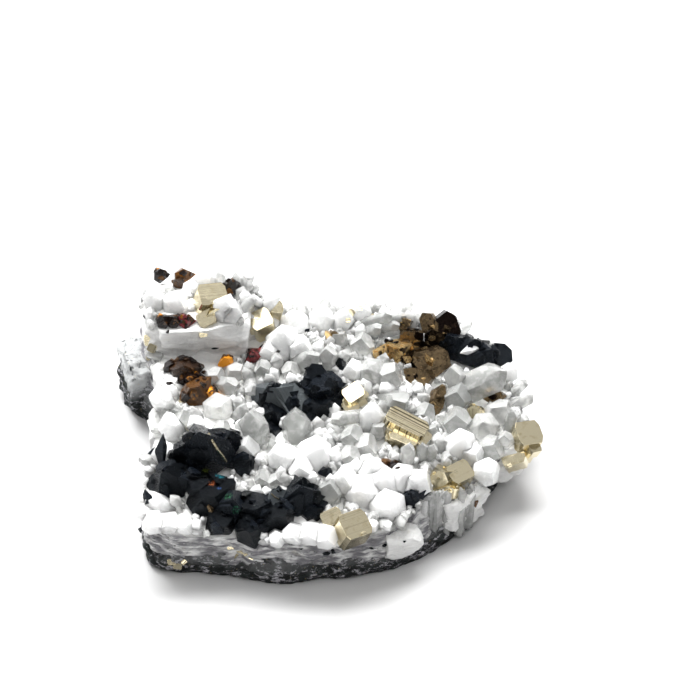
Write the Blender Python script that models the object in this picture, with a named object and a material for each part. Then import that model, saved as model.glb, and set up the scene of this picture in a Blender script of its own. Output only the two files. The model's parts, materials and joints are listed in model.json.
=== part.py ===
"""Pyrite, sphalerite and chalcopyrite crystals grown with quartz on a plate of host rock.

The plate lies on its flat underside. X runs to the right, Y to the back and Z up. Crystals are
placed by the pixel of the reference picture (700 x 700) that their middle falls on, and stand on
the plate's top surface. Everything is worked out in millimetres and written in metres.
"""

from collections import namedtuple
from dataclasses import dataclass, field
import math
import random

import bmesh
import bpy
import numpy as np
from mathutils import Matrix, Vector, noise

MM = 0.001

# Driving dimensions, in millimetres
PLATE_DEPTH = 47.0
FRONT_THICKNESS = 7.6
BACK_THICKNESS = 12.6
RIGHT_FALL = 2.4
BLOCK_RISE = 5.4
BLOCK_FRONT_Y = 36.2
BLOCK_RIGHT_X = -11.0
ORE_GAP = 0.32
GROUND_CLEARANCE = 0.15

# The picture: millimetres in one pixel, the view's tilt, and the pixel of the frame's zero
PIXEL = 0.142
VIEW_TILT = math.radians(43.0)
ZERO_PX = 329.0
ZERO_PY = 588.0

# Centre of the finished piece's plan box, measured from the zero above
PLAN_CENTRE = (-0.059, 23.1285)

# Plan corners of the plate, (x, y): its underside and the rim of its top
UNDERSIDE = [
    (-25.3, 4.8), (-23.5, 3.3), (-18.2, 2.7), (-13.8, 2.1), (-9.1, 0.6), (-5.5, 0.5), (-1.7, 1.4),
    (5.2, 2.4), (11.2, 4.4), (15.9, 7.7), (19.5, 11.9), (21.4, 16.0), (23.5, 20.5), (25.3, 26.0),
    (26.3, 31.0), (25.2, 37.0), (22.0, 42.0), (16.0, 45.3), (6.0, 46.2), (-6.0, 45.8),
    (-16.0, 46.2), (-24.0, 45.6), (-28.4, 43.2), (-29.8, 39.5), (-28.2, 36.2), (-25.4, 34.0),
    (-24.4, 30.0), (-24.9, 24.0), (-25.8, 16.0), (-26.4, 10.0),
]
TOP_RIM = [
    (-26.4, 5.4), (-22.0, 3.0), (-17.6, 2.6), (-12.4, 2.6), (-9.4, 1.4), (-5.5, 1.5), (-3.0, 1.3),
    (3.0, 2.4), (8.7, 3.8), (11.2, 6.6), (13.8, 9.8), (17.5, 12.5), (21.2, 15.0), (24.5, 19.5),
    (26.2, 24.0), (27.6, 28.5), (26.3, 34.0), (25.2, 38.0), (21.4, 41.3), (18.0, 43.2),
    (12.6, 44.2), (5.8, 45.0), (-4.0, 44.6), (-9.5, 44.9), (-15.2, 45.1), (-20.4, 45.6),
    (-24.3, 45.4), (-27.0, 43.0), (-26.4, 39.0), (-24.6, 35.0), (-23.4, 30.0), (-24.0, 24.0),
    (-25.6, 14.5), (-27.0, 9.5),
]
PLATE_MIDDLE = (0.0, 24.0)
PLATE_TURNS = 42
PLATE_RINGS = 6
WALL_STEPS = 3
WALL_ROUGHNESS = 0.75
WELD = 0.001
TOP_ROUGHNESS = 0.55

Finish = namedtuple("Finish", "colour roughness metallic")
FINISHES = {
    "quartz": Finish((0.86, 0.87, 0.85), 0.25, 0.0),
    "pyrite": Finish((0.62, 0.53, 0.33), 0.28, 1.0),
    "black_sphalerite": Finish((0.022, 0.026, 0.032), 0.22, 0.0),
    "brown_sphalerite": Finish((0.21, 0.07, 0.02), 0.22, 0.0),
    "chalcopyrite": Finish((0.36, 0.24, 0.10), 0.35, 1.0),
}


def smooth_step(value):
    """Ease from 0 to 1 as the value goes from 0 to 1."""
    value = min(max(value, 0.0), 1.0)
    return value * value * (3.0 - 2.0 * value)


def plate_top(x, y):
    """Height of the plate's top without the raised block: it climbs to the back, falls right."""
    climb = (BACK_THICKNESS - FRONT_THICKNESS) * min(max(y / PLATE_DEPTH, 0.0), 1.0) ** 0.8
    fall = RIGHT_FALL * smooth_step((x - 6.0) / 22.0)
    return FRONT_THICKNESS + climb - fall


def crystal_floor(x, y):
    """Height that crystals stand on: the plate, or the block raised at the back left."""
    ahead = smooth_step((y - BLOCK_FRONT_Y) / 0.8)
    beside = smooth_step((BLOCK_RIGHT_X - x) / 1.6 + 0.5)
    return plate_top(x, y) + BLOCK_RISE * ahead * beside


def unit(vector):
    """The vector at length 1."""
    vector = np.asarray(vector, float)
    return vector / np.linalg.norm(vector)


def lean_axis(right, front):
    """Unit direction that leans from upright by degrees to the right and to the front."""
    upright = Vector((0.0, 0.0, 1.0))
    upright.rotate(Matrix.Rotation(math.radians(front), 3, "X"))
    upright.rotate(Matrix.Rotation(math.radians(right), 3, "Y"))
    return np.array(upright)


def seat(px, py, reach):
    """Foot on the crystal floor of a body whose middle, foot + reach, shows at the pixel."""
    across = (px - ZERO_PX) * PIXEL
    up = (ZERO_PY - py) * PIXEL
    x = across - reach[0]
    y = PLATE_DEPTH / 2.0
    z = BACK_THICKNESS
    for _ in range(40):
        target = (up - (z + reach[2]) * math.cos(VIEW_TILT)) / math.sin(VIEW_TILT) - reach[1]
        y += 0.5 * (target - y)
        z = crystal_floor(x, y)
    return np.array((x, y, z))


def turned_frame(axis, turn):
    """Three columns: two sideways directions, turned about the axis by degrees, and the axis."""
    sideways = unit(np.cross((0.0, 1.0, 0.0), axis))
    other = np.cross(axis, sideways)
    angle = math.radians(turn)
    first = math.cos(angle) * sideways + math.sin(angle) * other
    return np.column_stack((first, np.cross(axis, first), axis))


@dataclass
class Body:
    """A flat-faced convex body: unit normals, their distances from its middle, and the middle."""

    normals: np.ndarray
    distances: np.ndarray
    middle: np.ndarray
    swell: float = 0.0

    def corners(self):
        """Every point where three face planes meet inside all the others."""
        count = len(self.normals)
        first, second, third = np.array(
            [(i, j, k) for i in range(count) for j in range(i) for k in range(j)]
        ).T
        planes = np.stack((self.normals[first], self.normals[second], self.normals[third]), 1)
        reach = self.distances + self.swell
        sides = np.stack((reach[first], reach[second], reach[third]), 1)
        solvable = np.abs(np.linalg.det(planes)) > 1e-4
        points = np.linalg.solve(planes[solvable], sides[solvable][:, :, None])[:, :, 0]
        inside = (points @ self.normals.T <= reach + 1e-7).all(axis=1)
        return points[inside] + self.middle

    def above_ground(self):
        """The same body with what would reach below the resting face cut off."""
        clearance = self.middle[2] - GROUND_CLEARANCE
        if self.corners()[:, 2].min() > GROUND_CLEARANCE:
            return self
        normals = np.vstack((self.normals, (0.0, 0.0, -1.0)))
        return Body(normals, np.append(self.distances, clearance), self.middle)

    def grown(self, gap):
        """The same body with each face moved out by the gap."""
        return Body(self.normals, self.distances, self.middle, self.swell + gap)

    def add_to(self, mesh):
        """Add the body's closed shell to a bmesh."""
        corners = np.unique(np.round(self.corners(), 5), axis=0)
        shell = bmesh.new()
        points = [shell.verts.new(Vector(corner)) for corner in corners]
        hull = bmesh.ops.convex_hull(shell, input=points)
        loose = [item for item in hull["geom_interior"] if isinstance(item, bmesh.types.BMVert)]
        bmesh.ops.delete(shell, geom=loose, context="VERTS")
        bmesh.ops.dissolve_limit(
            shell, angle_limit=math.radians(0.5), verts=shell.verts, edges=shell.edges
        )
        bmesh.ops.recalc_face_normals(shell, faces=shell.faces)
        block = bpy.data.meshes.new("shell")
        shell.to_mesh(block)
        shell.free()
        mesh.from_mesh(block)
        bpy.data.meshes.remove(block)


# Quartz: hexagonal prisms under a tip of three or six faces

QUARTZ_TIP_ANGLE = math.radians(51.8)
QUARTZ_SINK = 1.4
SIX_FACED_WIDTH = 4.1

Quartz = namedtuple("Quartz", "name px py width length right front turn rise", defaults=(0, 0))

QUARTZ_CRYSTALS = [
    Quartz("left_stub", 219, 408, 4.4, 3.5, 5, 40, 12),
    Quartz("left_tall", 252, 424, 4.2, 6.0, -8, 2, 20),
    Quartz("upright_point", 296, 422, 3.9, 5.6, -2, 4, 28),
    Quartz("bright_hexagon", 318, 452, 5.0, 5.0, 24, 26, 12),
    Quartz("pale_left", 280, 456, 4.2, 5.0, -30, 24, 2),
    Quartz("pale_low", 300, 469, 3.6, 4.0, -6, 38, 25),
    Quartz("grey_round", 330, 490, 3.2, 4.2, 4, 14, 16),
    Quartz("white_beside_round", 344, 480, 3.8, 4.4, -4, 24, 7),
    Quartz("white_mass_left", 362, 492, 5.2, 4.6, -10, 40, 22),
    Quartz("white_mass_middle", 384, 482, 5.4, 4.4, 8, 30, 3),
    Quartz("white_mass_right", 405, 476, 4.8, 4.2, 14, 22, 33),
    Quartz("white_mass_front", 388, 508, 5.2, 4.2, 4, 52, 12),
    Quartz("white_mass_corner", 420, 482, 4.0, 4.4, 25, 20, 18),
    Quartz("front_bright_left", 309, 534, 3.6, 3.6, -16, 50, 11),
    Quartz("front_bright_right", 326, 538, 3.4, 3.4, 12, 56, 28),
    Quartz("corner_white_left", 152, 522, 3.4, 3.6, -34, 44, 14),
    Quartz("corner_white_right", 168, 523, 3.2, 3.4, -6, 52, 30),
    Quartz("corner_grey", 152, 503, 3.2, 3.8, -44, 20, 21),
    Quartz("edge_white_high", 161, 452, 3.3, 4.0, -32, 16, 12),
    Quartz("edge_white_mid", 168, 425, 3.6, 4.4, -22, 20, 24),
    Quartz("edge_white_top", 160, 398, 3.2, 5.0, -12, 30, 15),
    Quartz("behind_black_mid", 222, 430, 3.0, 3.2, 6, 46, 28),
    Quartz("pointed_bright", 373, 414, 3.4, 4.6, 8, 8, 25),
    Quartz("clear_grey_lying", 399, 403, 3.4, 5.2, 40, 42, 13),
    Quartz("clear_hexagon", 425, 414, 3.2, 3.2, -4, 48, 4),
    Quartz("round_beside_blade", 458, 396, 3.9, 4.0, -4, 26, 10),
    Quartz("round_below", 457, 420, 4.0, 4.4, -6, 28, 25),
    Quartz("bright_facets", 462, 444, 4.8, 5.0, 12, 26, 14),
    Quartz("tall_beside_sheet", 455, 376, 3.2, 4.8, -16, 4, 17),
    Quartz("big_grey", 489, 380, 5.0, 8.0, 56, 4, 22),
    Quartz("blocky_pair_left", 371, 372, 4.2, 4.3, -16, 31, 11),
    Quartz("blocky_pair_right", 391, 375, 3.8, 4.2, 20, 26, 27),
    Quartz("back_facets_big", 283, 338, 5.0, 5.2, -6, 14, 8),
    Quartz("back_facets_right", 300, 347, 3.6, 4.2, 16, 24, 29),
    Quartz("pink_facet", 292, 318, 4.4, 3.4, -8, 10, 3),
    Quartz("back_left_white", 262, 300, 3.6, 4.2, 6, -8, 21),
    Quartz("back_mid_white", 320, 314, 3.6, 3.6, -10, -4, 10),
    Quartz("back_edge_white", 360, 309, 3.0, 3.4, -14, -10, 15),
    Quartz("right_rim_white", 511, 372, 3.0, 3.4, 46, 10, 26),
    Quartz("right_rim_grey", 502, 412, 3.8, 4.2, 26, 22, 14),
    Quartz("right_grey_mass", 484, 426, 4.4, 4.2, -6, 30, 30),
    Quartz("right_low_white", 488, 472, 4.0, 4.0, 20, 44, 5),
    Quartz("middle_clear_two", 367, 446, 3.5, 3.4, 8, 42, 22),
    Quartz("wall_plate_one", 431, 511, 3.0, 6.2, 2, -8, 30, -5.6),
    Quartz("wall_plate_two", 446, 510, 3.4, 6.4, 4, -6, 28, -5.4),
    Quartz("wall_plate_three", 462, 504, 3.2, 6.2, 8, -6, 33, -5.4),
    Quartz("block_back_one", 205, 276, 3.2, 3.4, -10, -8, 18),
    Quartz("block_back_two", 224, 304, 3.6, 4.0, 8, 6, 4),
    Quartz("block_back_three", 150, 296, 3.0, 3.4, -20, 10, 23),
    Quartz("block_top_one", 176, 300, 3.8, 3.2, 6, 20, 11),
]


def quartz_body(crystal):
    """Six prism sides of slightly unlike widths under a tip of three faces, or six if wide."""
    rng = random.Random(crystal.name)
    axis = lean_axis(crystal.right, crystal.front)
    foot = seat(crystal.px, crystal.py, axis * crystal.length * 0.5)
    foot[2] += crystal.rise
    sideways = turned_frame(axis, crystal.turn)
    normals = [-axis]
    distances = [QUARTZ_SINK]
    for side in range(6):
        angle = side * math.pi / 3.0
        flat = sideways @ np.array((math.cos(angle), math.sin(angle), 0.0))
        normals.append(flat)
        distances.append(crystal.width * 0.5 * rng.uniform(0.86, 1.02))
        if side % 2 and crystal.width < SIX_FACED_WIDTH:
            continue
        normals.append(flat * math.sin(QUARTZ_TIP_ANGLE) + axis * math.cos(QUARTZ_TIP_ANGLE))
        larger = 0.0 if side % 2 else rng.uniform(0.02, 0.10)
        distances.append(crystal.length * math.cos(QUARTZ_TIP_ANGLE) * (1.0 - larger))
    return Body(np.array(normals), np.array(distances), foot)


# Massive quartz: blocky broken lumps that make the raised block and the ledges

Lump = namedtuple("Lump", "name x y z wide deep high turn")

LUMPS = [
    Lump("block_left", -22.6, 40.6, 13.6, 7.6, 8.6, 8.0, 8),
    Lump("block_right", -15.6, 40.4, 13.8, 8.6, 8.2, 7.6, -6),
    Lump("block_brow", -18.6, 36.9, 15.0, 11.5, 3.4, 4.2, 3),
    Lump("block_shoulder", -10.6, 42.2, 12.8, 5.4, 5.6, 6.2, 20),
    Lump("host_bulge", -26.6, 40.0, 4.4, 6.0, 9.6, 8.8, 10),
    Lump("left_edge_spine", -23.4, 32.2, 9.6, 3.4, 8.0, 4.8, 4),
    Lump("left_edge_low", -24.0, 24.4, 8.0, 3.4, 7.4, 4.6, -4),
    Lump("front_step", 10.2, 5.0, 4.6, 5.2, 3.6, 5.0, 26),
    Lump("right_foot", 18.4, 12.8, 3.8, 7.6, 4.4, 6.6, 42),
    Lump("right_edge", 24.6, 22.4, 5.6, 4.4, 6.6, 6.0, 20),
]


def blocky_faces(rng, wide, deep, high):
    """Normals and distances of a box with its corners and edges broken off."""
    normals = []
    distances = []
    half = np.array((wide, deep, high)) * 0.5
    for axis in range(3):
        for sign in (-1.0, 1.0):
            normal = np.array([rng.uniform(-0.12, 0.12) for _ in range(3)])
            normal[axis] = sign
            normals.append(unit(normal))
            distances.append(half[axis])
    for corner in range(8):
        signs = np.array([1.0 if corner >> bit & 1 else -1.0 for bit in range(3)])
        tilt = np.array([rng.uniform(0.6, 1.3) for _ in range(3)])
        normal = unit(signs * tilt / half)
        normals.append(normal)
        distances.append(float(np.abs(normal) @ half) * rng.uniform(0.70, 0.86))
    return np.array(normals), np.array(distances)


def lump_body(lump):
    """A broken lump, turned about the upright."""
    normals, distances = blocky_faces(random.Random(lump.name), lump.wide, lump.deep, lump.high)
    turn = np.array(Matrix.Rotation(math.radians(lump.turn), 3, "Z"))
    return Body(normals @ turn.T, distances, np.array((lump.x, lump.y, lump.z)))


# Ore crystals: each form gives its face normals and how far each lies, as parts of its size


def cube_form(rng):
    """A pyrite cube: six faces, with four pyritohedral faces taking its upright edges."""
    normals = [sign * axis for axis in np.eye(3) for sign in (-1.0, 1.0)]
    distances = [1.0] * 6
    for long_way in (-2.0, 2.0):
        for short_way in (-1.0, 1.0):
            normals.append(unit((long_way, short_way, 0.0)))
            distances.append(rng.uniform(1.10, 1.20))
    return np.array(normals), np.array(distances)


def rough_form(rng):
    """A sphalerite crystal: tetrahedral faces of two sizes, two of their corners taken off."""
    normals = []
    distances = []
    for corner in range(8):
        signs = np.array([1.0 if corner >> bit & 1 else -1.0 for bit in range(3)])
        large = signs.prod() > 0
        normals.append(unit(signs + [rng.uniform(-0.16, 0.16) for _ in range(3)]))
        distances.append(rng.uniform(0.72, 0.82) if large else rng.uniform(0.86, 0.96))
    for axis in np.eye(3)[:2]:
        sign = rng.choice((-1.0, 1.0))
        normals.append(unit(sign * axis + [rng.uniform(-0.2, 0.2) for _ in range(3)]))
        distances.append(rng.uniform(0.8, 0.92))
    return np.array(normals), np.array(distances)


def plate_form(rng):
    """A blade or plate: two broad faces and an outline of seven edges of unlike lengths."""
    normals = [np.array((0.0, 0.0, 1.0)), np.array((0.0, 0.0, -1.0))]
    distances = [1.0, 1.0]
    for side in range(7):
        angle = (side + rng.uniform(-0.22, 0.22)) * 2.0 * math.pi / 7.0
        normals.append(unit((math.cos(angle), math.sin(angle), rng.uniform(-0.06, 0.06))))
        distances.append(rng.uniform(0.82, 1.0))
    return np.array(normals), np.array(distances)


def wedge_form(rng):
    """A chalcopyrite wedge: four large disphenoid faces, their corners taken off."""
    normals = []
    distances = []
    for signs in ((1, 1, 1), (1, -1, -1), (-1, 1, -1), (-1, -1, 1)):
        normals.append(unit(np.array(signs) + [rng.uniform(-0.1, 0.1) for _ in range(3)]))
        distances.append(rng.uniform(0.5, 0.6))
        normals.append(-normals[-1])
        distances.append(rng.uniform(0.86, 1.04))
    return np.array(normals), np.array(distances)


FORMS = {"cube": cube_form, "rough": rough_form, "plate": plate_form, "wedge": wedge_form}

# Half sizes across, front to back and along the axis; rise is the middle's height over the floor
Ore = namedtuple("Ore", "form px py across deep tall right front turn rise")


@dataclass
class Cluster:
    """Ore crystals of one mineral that have grown together into one solid."""

    name: str
    finish: str
    crystals: list = field(default_factory=list)


CLUSTERS = [
    Cluster("pyrite_front", "pyrite", [
        Ore("cube", 352, 529, 2.1, 2.0, 2.0, 16, 22, 32, 0.9),
        Ore("cube", 333, 519, 1.5, 1.2, 1.1, -14, 28, 16, 0.7),
        Ore("cube", 341, 527, 1.2, 1.2, 1.0, 4, 20, 8, -0.2),
    ]),
    Cluster("pyrite_centre", "pyrite", [
        Ore("cube", 405, 428, 3.1, 1.5, 1.7, 13, 11, -22, 1.7),
        Ore("cube", 403, 440, 2.2, 1.5, 1.7, 10, 16, -18, 0.6),
        Ore("cube", 418, 440, 1.3, 1.3, 1.5, 22, 20, -28, 0.6),
    ]),
    Cluster("pyrite_upper", "pyrite", [
        Ore("cube", 355, 397, 1.5, 1.3, 1.5, -10, 18, 30, 1.1),
        Ore("cube", 350, 407, 1.2, 1.0, 1.0, 10, 26, 10, 0.2),
    ]),
    Cluster("pyrite_right", "pyrite", [
        Ore("cube", 524, 443, 1.9, 1.9, 2.9, 18, 14, 24, -0.4),
        Ore("cube", 515, 459, 1.7, 1.4, 1.6, -10, 30, 12, -1.6),
    ]),
    Cluster("pyrite_rim", "pyrite", [
        Ore("rough", 444, 478, 2.2, 1.7, 1.7, -10, 24, 20, 0.6),
        Ore("cube", 458, 476, 1.8, 1.5, 1.5, 14, 20, 38, 0.8),
        Ore("rough", 450, 491, 2.2, 1.5, 1.7, 6, 36, 10, -0.7),
    ]),
    Cluster("pyrite_back_left", "pyrite", [
        Ore("cube", 209, 300, 2.1, 1.7, 1.9, 14, 14, 18, 0.9),
        Ore("rough", 214, 314, 1.9, 1.4, 1.8, 8, 26, 40, 0.2),
        Ore("cube", 206, 320, 1.3, 1.1, 1.3, -6, 34, 25, -0.2),
    ]),
    Cluster("pyrite_back", "pyrite", [
        Ore("cube", 262, 326, 1.6, 1.5, 2.4, -8, 20, 22, 1.4),
        Ore("cube", 272, 316, 1.1, 1.1, 2.2, 12, 6, 10, 1.0),
    ]),
    Cluster("pyrite_corner_small", "pyrite", [
        Ore("wedge", 477, 411, 1.4, 1.2, 1.2, 8, 24, 15, 0.8),
    ]),
    Cluster("sphalerite_front", "black_sphalerite", [
        Ore("rough", 205, 452, 4.2, 3.6, 4.0, -6, 18, 12, 1.5),
        Ore("rough", 184, 459, 2.4, 2.6, 2.9, -24, 24, 40, 0.7),
        Ore("rough", 225, 444, 2.2, 2.4, 2.8, 20, 14, 64, 1.2),
        Ore("rough", 243, 463, 1.7, 1.6, 1.8, 16, 22, 18, 0.9),
        Ore("rough", 172, 480, 3.2, 2.6, 2.6, -22, 28, 55, 0.6),
        Ore("rough", 191, 482, 3.0, 2.6, 2.4, 6, 34, 22, 0.2),
        Ore("plate", 160, 487, 2.0, 2.4, 0.6, -50, 30, 10, 0.2),
        Ore("rough", 210, 502, 3.6, 3.2, 2.6, -8, 38, 33, 0.3),
        Ore("rough", 232, 508, 2.8, 2.6, 2.6, 12, 34, 5, 0.5),
        Ore("rough", 222, 524, 2.6, 1.9, 2.1, 6, 50, 48, -0.3),
        Ore("rough", 256, 512, 2.8, 2.6, 2.4, -10, 36, 26, 0.4),
        Ore("rough", 275, 519, 3.0, 2.2, 2.3, 16, 40, 52, 0.2),
        Ore("rough", 250, 530, 2.4, 1.9, 2.1, -8, 48, 14, -0.1),
        Ore("plate", 280, 502, 2.2, 2.0, 0.7, 34, 30, 30, 0.9),
        Ore("rough", 303, 500, 2.9, 2.6, 3.0, 10, 20, 24, 0.6),
        Ore("rough", 312, 512, 1.9, 1.6, 2.1, 26, 34, 60, -0.1),
    ]),
    Cluster("sphalerite_left_flake", "black_sphalerite", [
        Ore("plate", 161, 452, 0.8, 2.0, 0.6, -32, 28, 78, 0.6),
    ]),
    Cluster("sphalerite_centre", "black_sphalerite", [
        Ore("plate", 321, 388, 2.9, 2.7, 1.3, -8, -6, 22, 0.9),
        Ore("plate", 315, 377, 1.7, 1.9, 0.6, 24, 34, 8, 1.5),
        Ore("rough", 278, 398, 2.4, 2.0, 2.4, -14, 20, 28, 1.0),
        Ore("rough", 264, 396, 2.0, 1.7, 2.2, 10, 28, 62, 0.6),
        Ore("plate", 292, 400, 3.0, 2.6, 0.9, 30, 26, 14, 0.9),
        Ore("rough", 318, 410, 2.2, 1.9, 2.1, 18, 30, 50, 0.1),
        Ore("rough", 275, 417, 2.4, 2.2, 2.0, 0, 36, 10, -0.5),
        Ore("rough", 272, 434, 1.6, 2.0, 1.8, 0, 40, 20, -1.2),
        Ore("plate", 334, 399, 1.5, 2.0, 0.6, 26, 10, 70, 0.7),
    ]),
    Cluster("sphalerite_right_back", "black_sphalerite", [
        Ore("rough", 455, 346, 2.2, 2.0, 2.0, -12, 14, 14, 1.4),
        Ore("rough", 470, 350, 2.6, 2.1, 2.0, 18, 16, 42, 1.5),
        Ore("rough", 486, 357, 2.4, 2.1, 1.9, 24, 20, 28, 1.4),
        Ore("plate", 501, 356, 2.0, 1.8, 0.7, 30, 18, 12, 1.6),
    ]),
    Cluster("sphalerite_rim_fleck", "black_sphalerite", [
        Ore("rough", 411, 498, 1.6, 1.2, 1.2, -18, 30, 20, 0.9),
        Ore("rough", 423, 493, 1.1, 0.8, 0.8, 26, 20, 50, 1.0),
    ]),
    Cluster("sphalerite_middle_fleck", "black_sphalerite", [
        Ore("rough", 326, 472, 0.9, 0.7, 0.8, 10, 20, 15, 0.9),
    ]),
    Cluster("sphalerite_gap_dark", "black_sphalerite", [
        Ore("rough", 340, 366, 0.9, 0.9, 1.7, 0, 14, 22, 0.6),
    ]),
    Cluster("sphalerite_back_tip", "brown_sphalerite", [
        Ore("rough", 159, 275, 1.1, 1.0, 1.2, 10, 10, 20, 0.5),
    ]),
    Cluster("sphalerite_back_orange", "brown_sphalerite", [
        Ore("rough", 182, 275, 1.4, 1.0, 1.1, 8, 10, 12, 0.7),
        Ore("rough", 177, 283, 0.9, 0.8, 1.4, -16, 26, 40, 0.2),
    ]),
    Cluster("sphalerite_back_dark", "brown_sphalerite", [
        Ore("rough", 231, 288, 1.4, 1.2, 1.7, 4, 12, 26, 0.6),
    ]),
    Cluster("sphalerite_red_row", "brown_sphalerite", [
        Ore("rough", 162, 322, 1.2, 1.0, 1.0, -10, 20, 22, 0.3),
        Ore("rough", 173, 321, 1.2, 1.0, 1.1, 6, 24, 50, 0.3),
        Ore("rough", 184, 322, 1.2, 1.0, 1.0, 12, 20, 8, 0.3),
    ]),
    Cluster("sphalerite_step_brown", "brown_sphalerite", [
        Ore("rough", 184, 371, 2.3, 1.6, 1.5, 12, 30, 24, 0.7),
        Ore("rough", 170, 366, 1.2, 0.9, 1.0, 26, 26, 50, 0.9),
        Ore("rough", 191, 381, 1.9, 1.4, 1.5, 4, 34, 12, 0.2),
        Ore("rough", 194, 393, 2.5, 1.8, 1.8, -4, 32, 44, 0.6),
        Ore("rough", 210, 395, 1.4, 1.1, 1.2, 28, 32, 20, 0.3),
    ]),
    Cluster("sphalerite_amber", "brown_sphalerite", [
        Ore("rough", 226, 361, 1.1, 0.9, 1.1, -8, 30, 22, 0.9),
    ]),
    Cluster("sphalerite_ledge_red", "brown_sphalerite", [
        Ore("rough", 254, 355, 1.2, 1.0, 0.9, -12, 24, 30, 0.8),
        Ore("rough", 266, 351, 1.3, 0.9, 0.8, 10, 20, 8, 0.8),
    ]),
    Cluster("sphalerite_middle_red", "brown_sphalerite", [
        Ore("rough", 385, 463, 0.8, 0.7, 0.8, -8, 30, 10, 1.2),
        Ore("rough", 394, 466, 1.1, 0.8, 0.8, 20, 26, 40, 1.1),
    ]),
    Cluster("chalcopyrite_back", "chalcopyrite", [
        Ore("plate", 447, 327, 2.0, 2.5, 0.75, 8, -52, 30, 3.0),
        Ore("plate", 431, 324, 1.3, 2.0, 0.5, -46, -30, 14, 2.8),
        Ore("wedge", 437, 338, 1.9, 1.6, 1.7, 10, 12, 24, 1.6),
        Ore("wedge", 412, 337, 2.0, 1.7, 1.9, -8, 20, 38, 1.9),
        Ore("wedge", 406, 324, 1.2, 1.1, 1.5, -24, 4, 10, 2.0),
        Ore("wedge", 398, 350, 2.5, 1.8, 1.9, -20, 26, 12, 1.0),
        Ore("wedge", 382, 352, 1.5, 1.2, 1.6, -34, 24, 44, 0.8),
        Ore("wedge", 413, 355, 2.2, 1.8, 2.0, 14, 22, 66, 0.8),
        Ore("plate", 432, 361, 2.7, 2.2, 0.9, 12, 50, 22, 1.2),
        Ore("plate", 420, 377, 1.4, 2.2, 0.8, -30, 42, 60, 0.4),
        Ore("wedge", 425, 350, 1.8, 1.5, 1.6, 20, 18, 8, 1.0),
    ]),
    Cluster("chalcopyrite_low_blade", "chalcopyrite", [
        Ore("plate", 437, 401, 1.0, 2.4, 0.75, 40, 40, 10, 0.6),
    ]),
    Cluster("chalcopyrite_left", "chalcopyrite", [
        Ore("wedge", 335, 338, 1.8, 1.3, 1.5, 16, 14, 26, 1.0),
    ]),
    Cluster("chalcopyrite_right", "chalcopyrite", [
        Ore("wedge", 495, 395, 1.8, 1.3, 1.2, 26, 20, 20, 0.9),
    ]),
]


def ore_body(crystal, label):
    """One ore crystal, its form stretched to its half sizes and turned to its lean."""
    normals, distances = FORMS[crystal.form](random.Random(label))
    sizes = np.array((crystal.across, crystal.deep, crystal.tall))
    scaled = normals / sizes
    lengths = np.linalg.norm(scaled, axis=1)
    frame = turned_frame(lean_axis(crystal.right, crystal.front), crystal.turn)
    middle = seat(crystal.px, crystal.py, np.array((0.0, 0.0, crystal.rise)))
    middle[2] += crystal.rise
    return Body(scaled / lengths[:, None] @ frame.T, distances / lengths, middle)


def cluster_bodies(cluster):
    """Every crystal of a cluster."""
    return [
        ore_body(crystal, f"{cluster.name}_{number}")
        for number, crystal in enumerate(cluster.crystals)
    ]


# Meshes


def outline_radius(corners, angles):
    """Distance from the plate's middle to an outline, at each angle, run straight between."""
    across = np.array([corner[0] - PLATE_MIDDLE[0] for corner in corners])
    along = np.array([corner[1] - PLATE_MIDDLE[1] for corner in corners])
    turns = np.arctan2(along, across)
    order = np.argsort(turns)
    return np.interp(angles, turns[order], np.hypot(across, along)[order], period=2.0 * math.pi)


def rough(x, y, z, size):
    """Repeatable roughness from -1 to 1 at a place."""
    return noise.noise(Vector((x, y, z)) / size)


def plate_mesh():
    """The plate of rock: rings over its uneven top, broken walls, and a flat underside."""
    angles = np.arange(PLATE_TURNS) * 2.0 * math.pi / PLATE_TURNS - math.pi
    rim = outline_radius(TOP_RIM, angles)
    base = outline_radius(UNDERSIDE, angles)
    rows = []
    for ring in range(1, PLATE_RINGS + 1):
        part = (ring / PLATE_RINGS) ** 0.8
        row = []
        for angle, radius in zip(angles, rim):
            x = PLATE_MIDDLE[0] + part * radius * math.cos(angle)
            y = PLATE_MIDDLE[1] + part * radius * math.sin(angle)
            z = plate_top(x, y) + TOP_ROUGHNESS * rough(x, y, 0.0, 3.1)
            row.append((x, y, z - 0.4 * (ring == PLATE_RINGS)))
        rows.append(row)
    for step in range(1, WALL_STEPS + 1):
        part = step / WALL_STEPS
        row = []
        for angle, top_radius, base_radius in zip(angles, rim, base):
            radius = top_radius + (base_radius - top_radius) * part
            x = PLATE_MIDDLE[0] + radius * math.cos(angle)
            y = PLATE_MIDDLE[1] + radius * math.sin(angle)
            z = (plate_top(x, y) - 0.4) * (1.0 - part)
            shift = WALL_ROUGHNESS * (rough(x, y, z * 2.0, 2.6) - 0.6 * (step == WALL_STEPS))
            row.append((x + shift * math.cos(angle), y + shift * math.sin(angle), z))
        rows.append(row)
    mesh = bmesh.new()
    rings = [[mesh.verts.new(point) for point in row] for row in rows]
    crown = mesh.verts.new((*PLATE_MIDDLE, plate_top(*PLATE_MIDDLE)))
    for turn in range(PLATE_TURNS):
        following = (turn + 1) % PLATE_TURNS
        mesh.faces.new((crown, rings[0][turn], rings[0][following]))
        for inner, outer in zip(rings, rings[1:]):
            mesh.faces.new((inner[turn], outer[turn], outer[following], inner[following]))
    mesh.faces.new(list(reversed(rings[-1])))
    bmesh.ops.triangulate(mesh, faces=mesh.faces)
    bmesh.ops.recalc_face_normals(mesh, faces=mesh.faces)
    return mesh


def bodies_mesh(bodies):
    """The shells of several bodies in one bmesh."""
    mesh = bmesh.new()
    for body in bodies:
        body.add_to(mesh)
    return mesh


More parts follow.
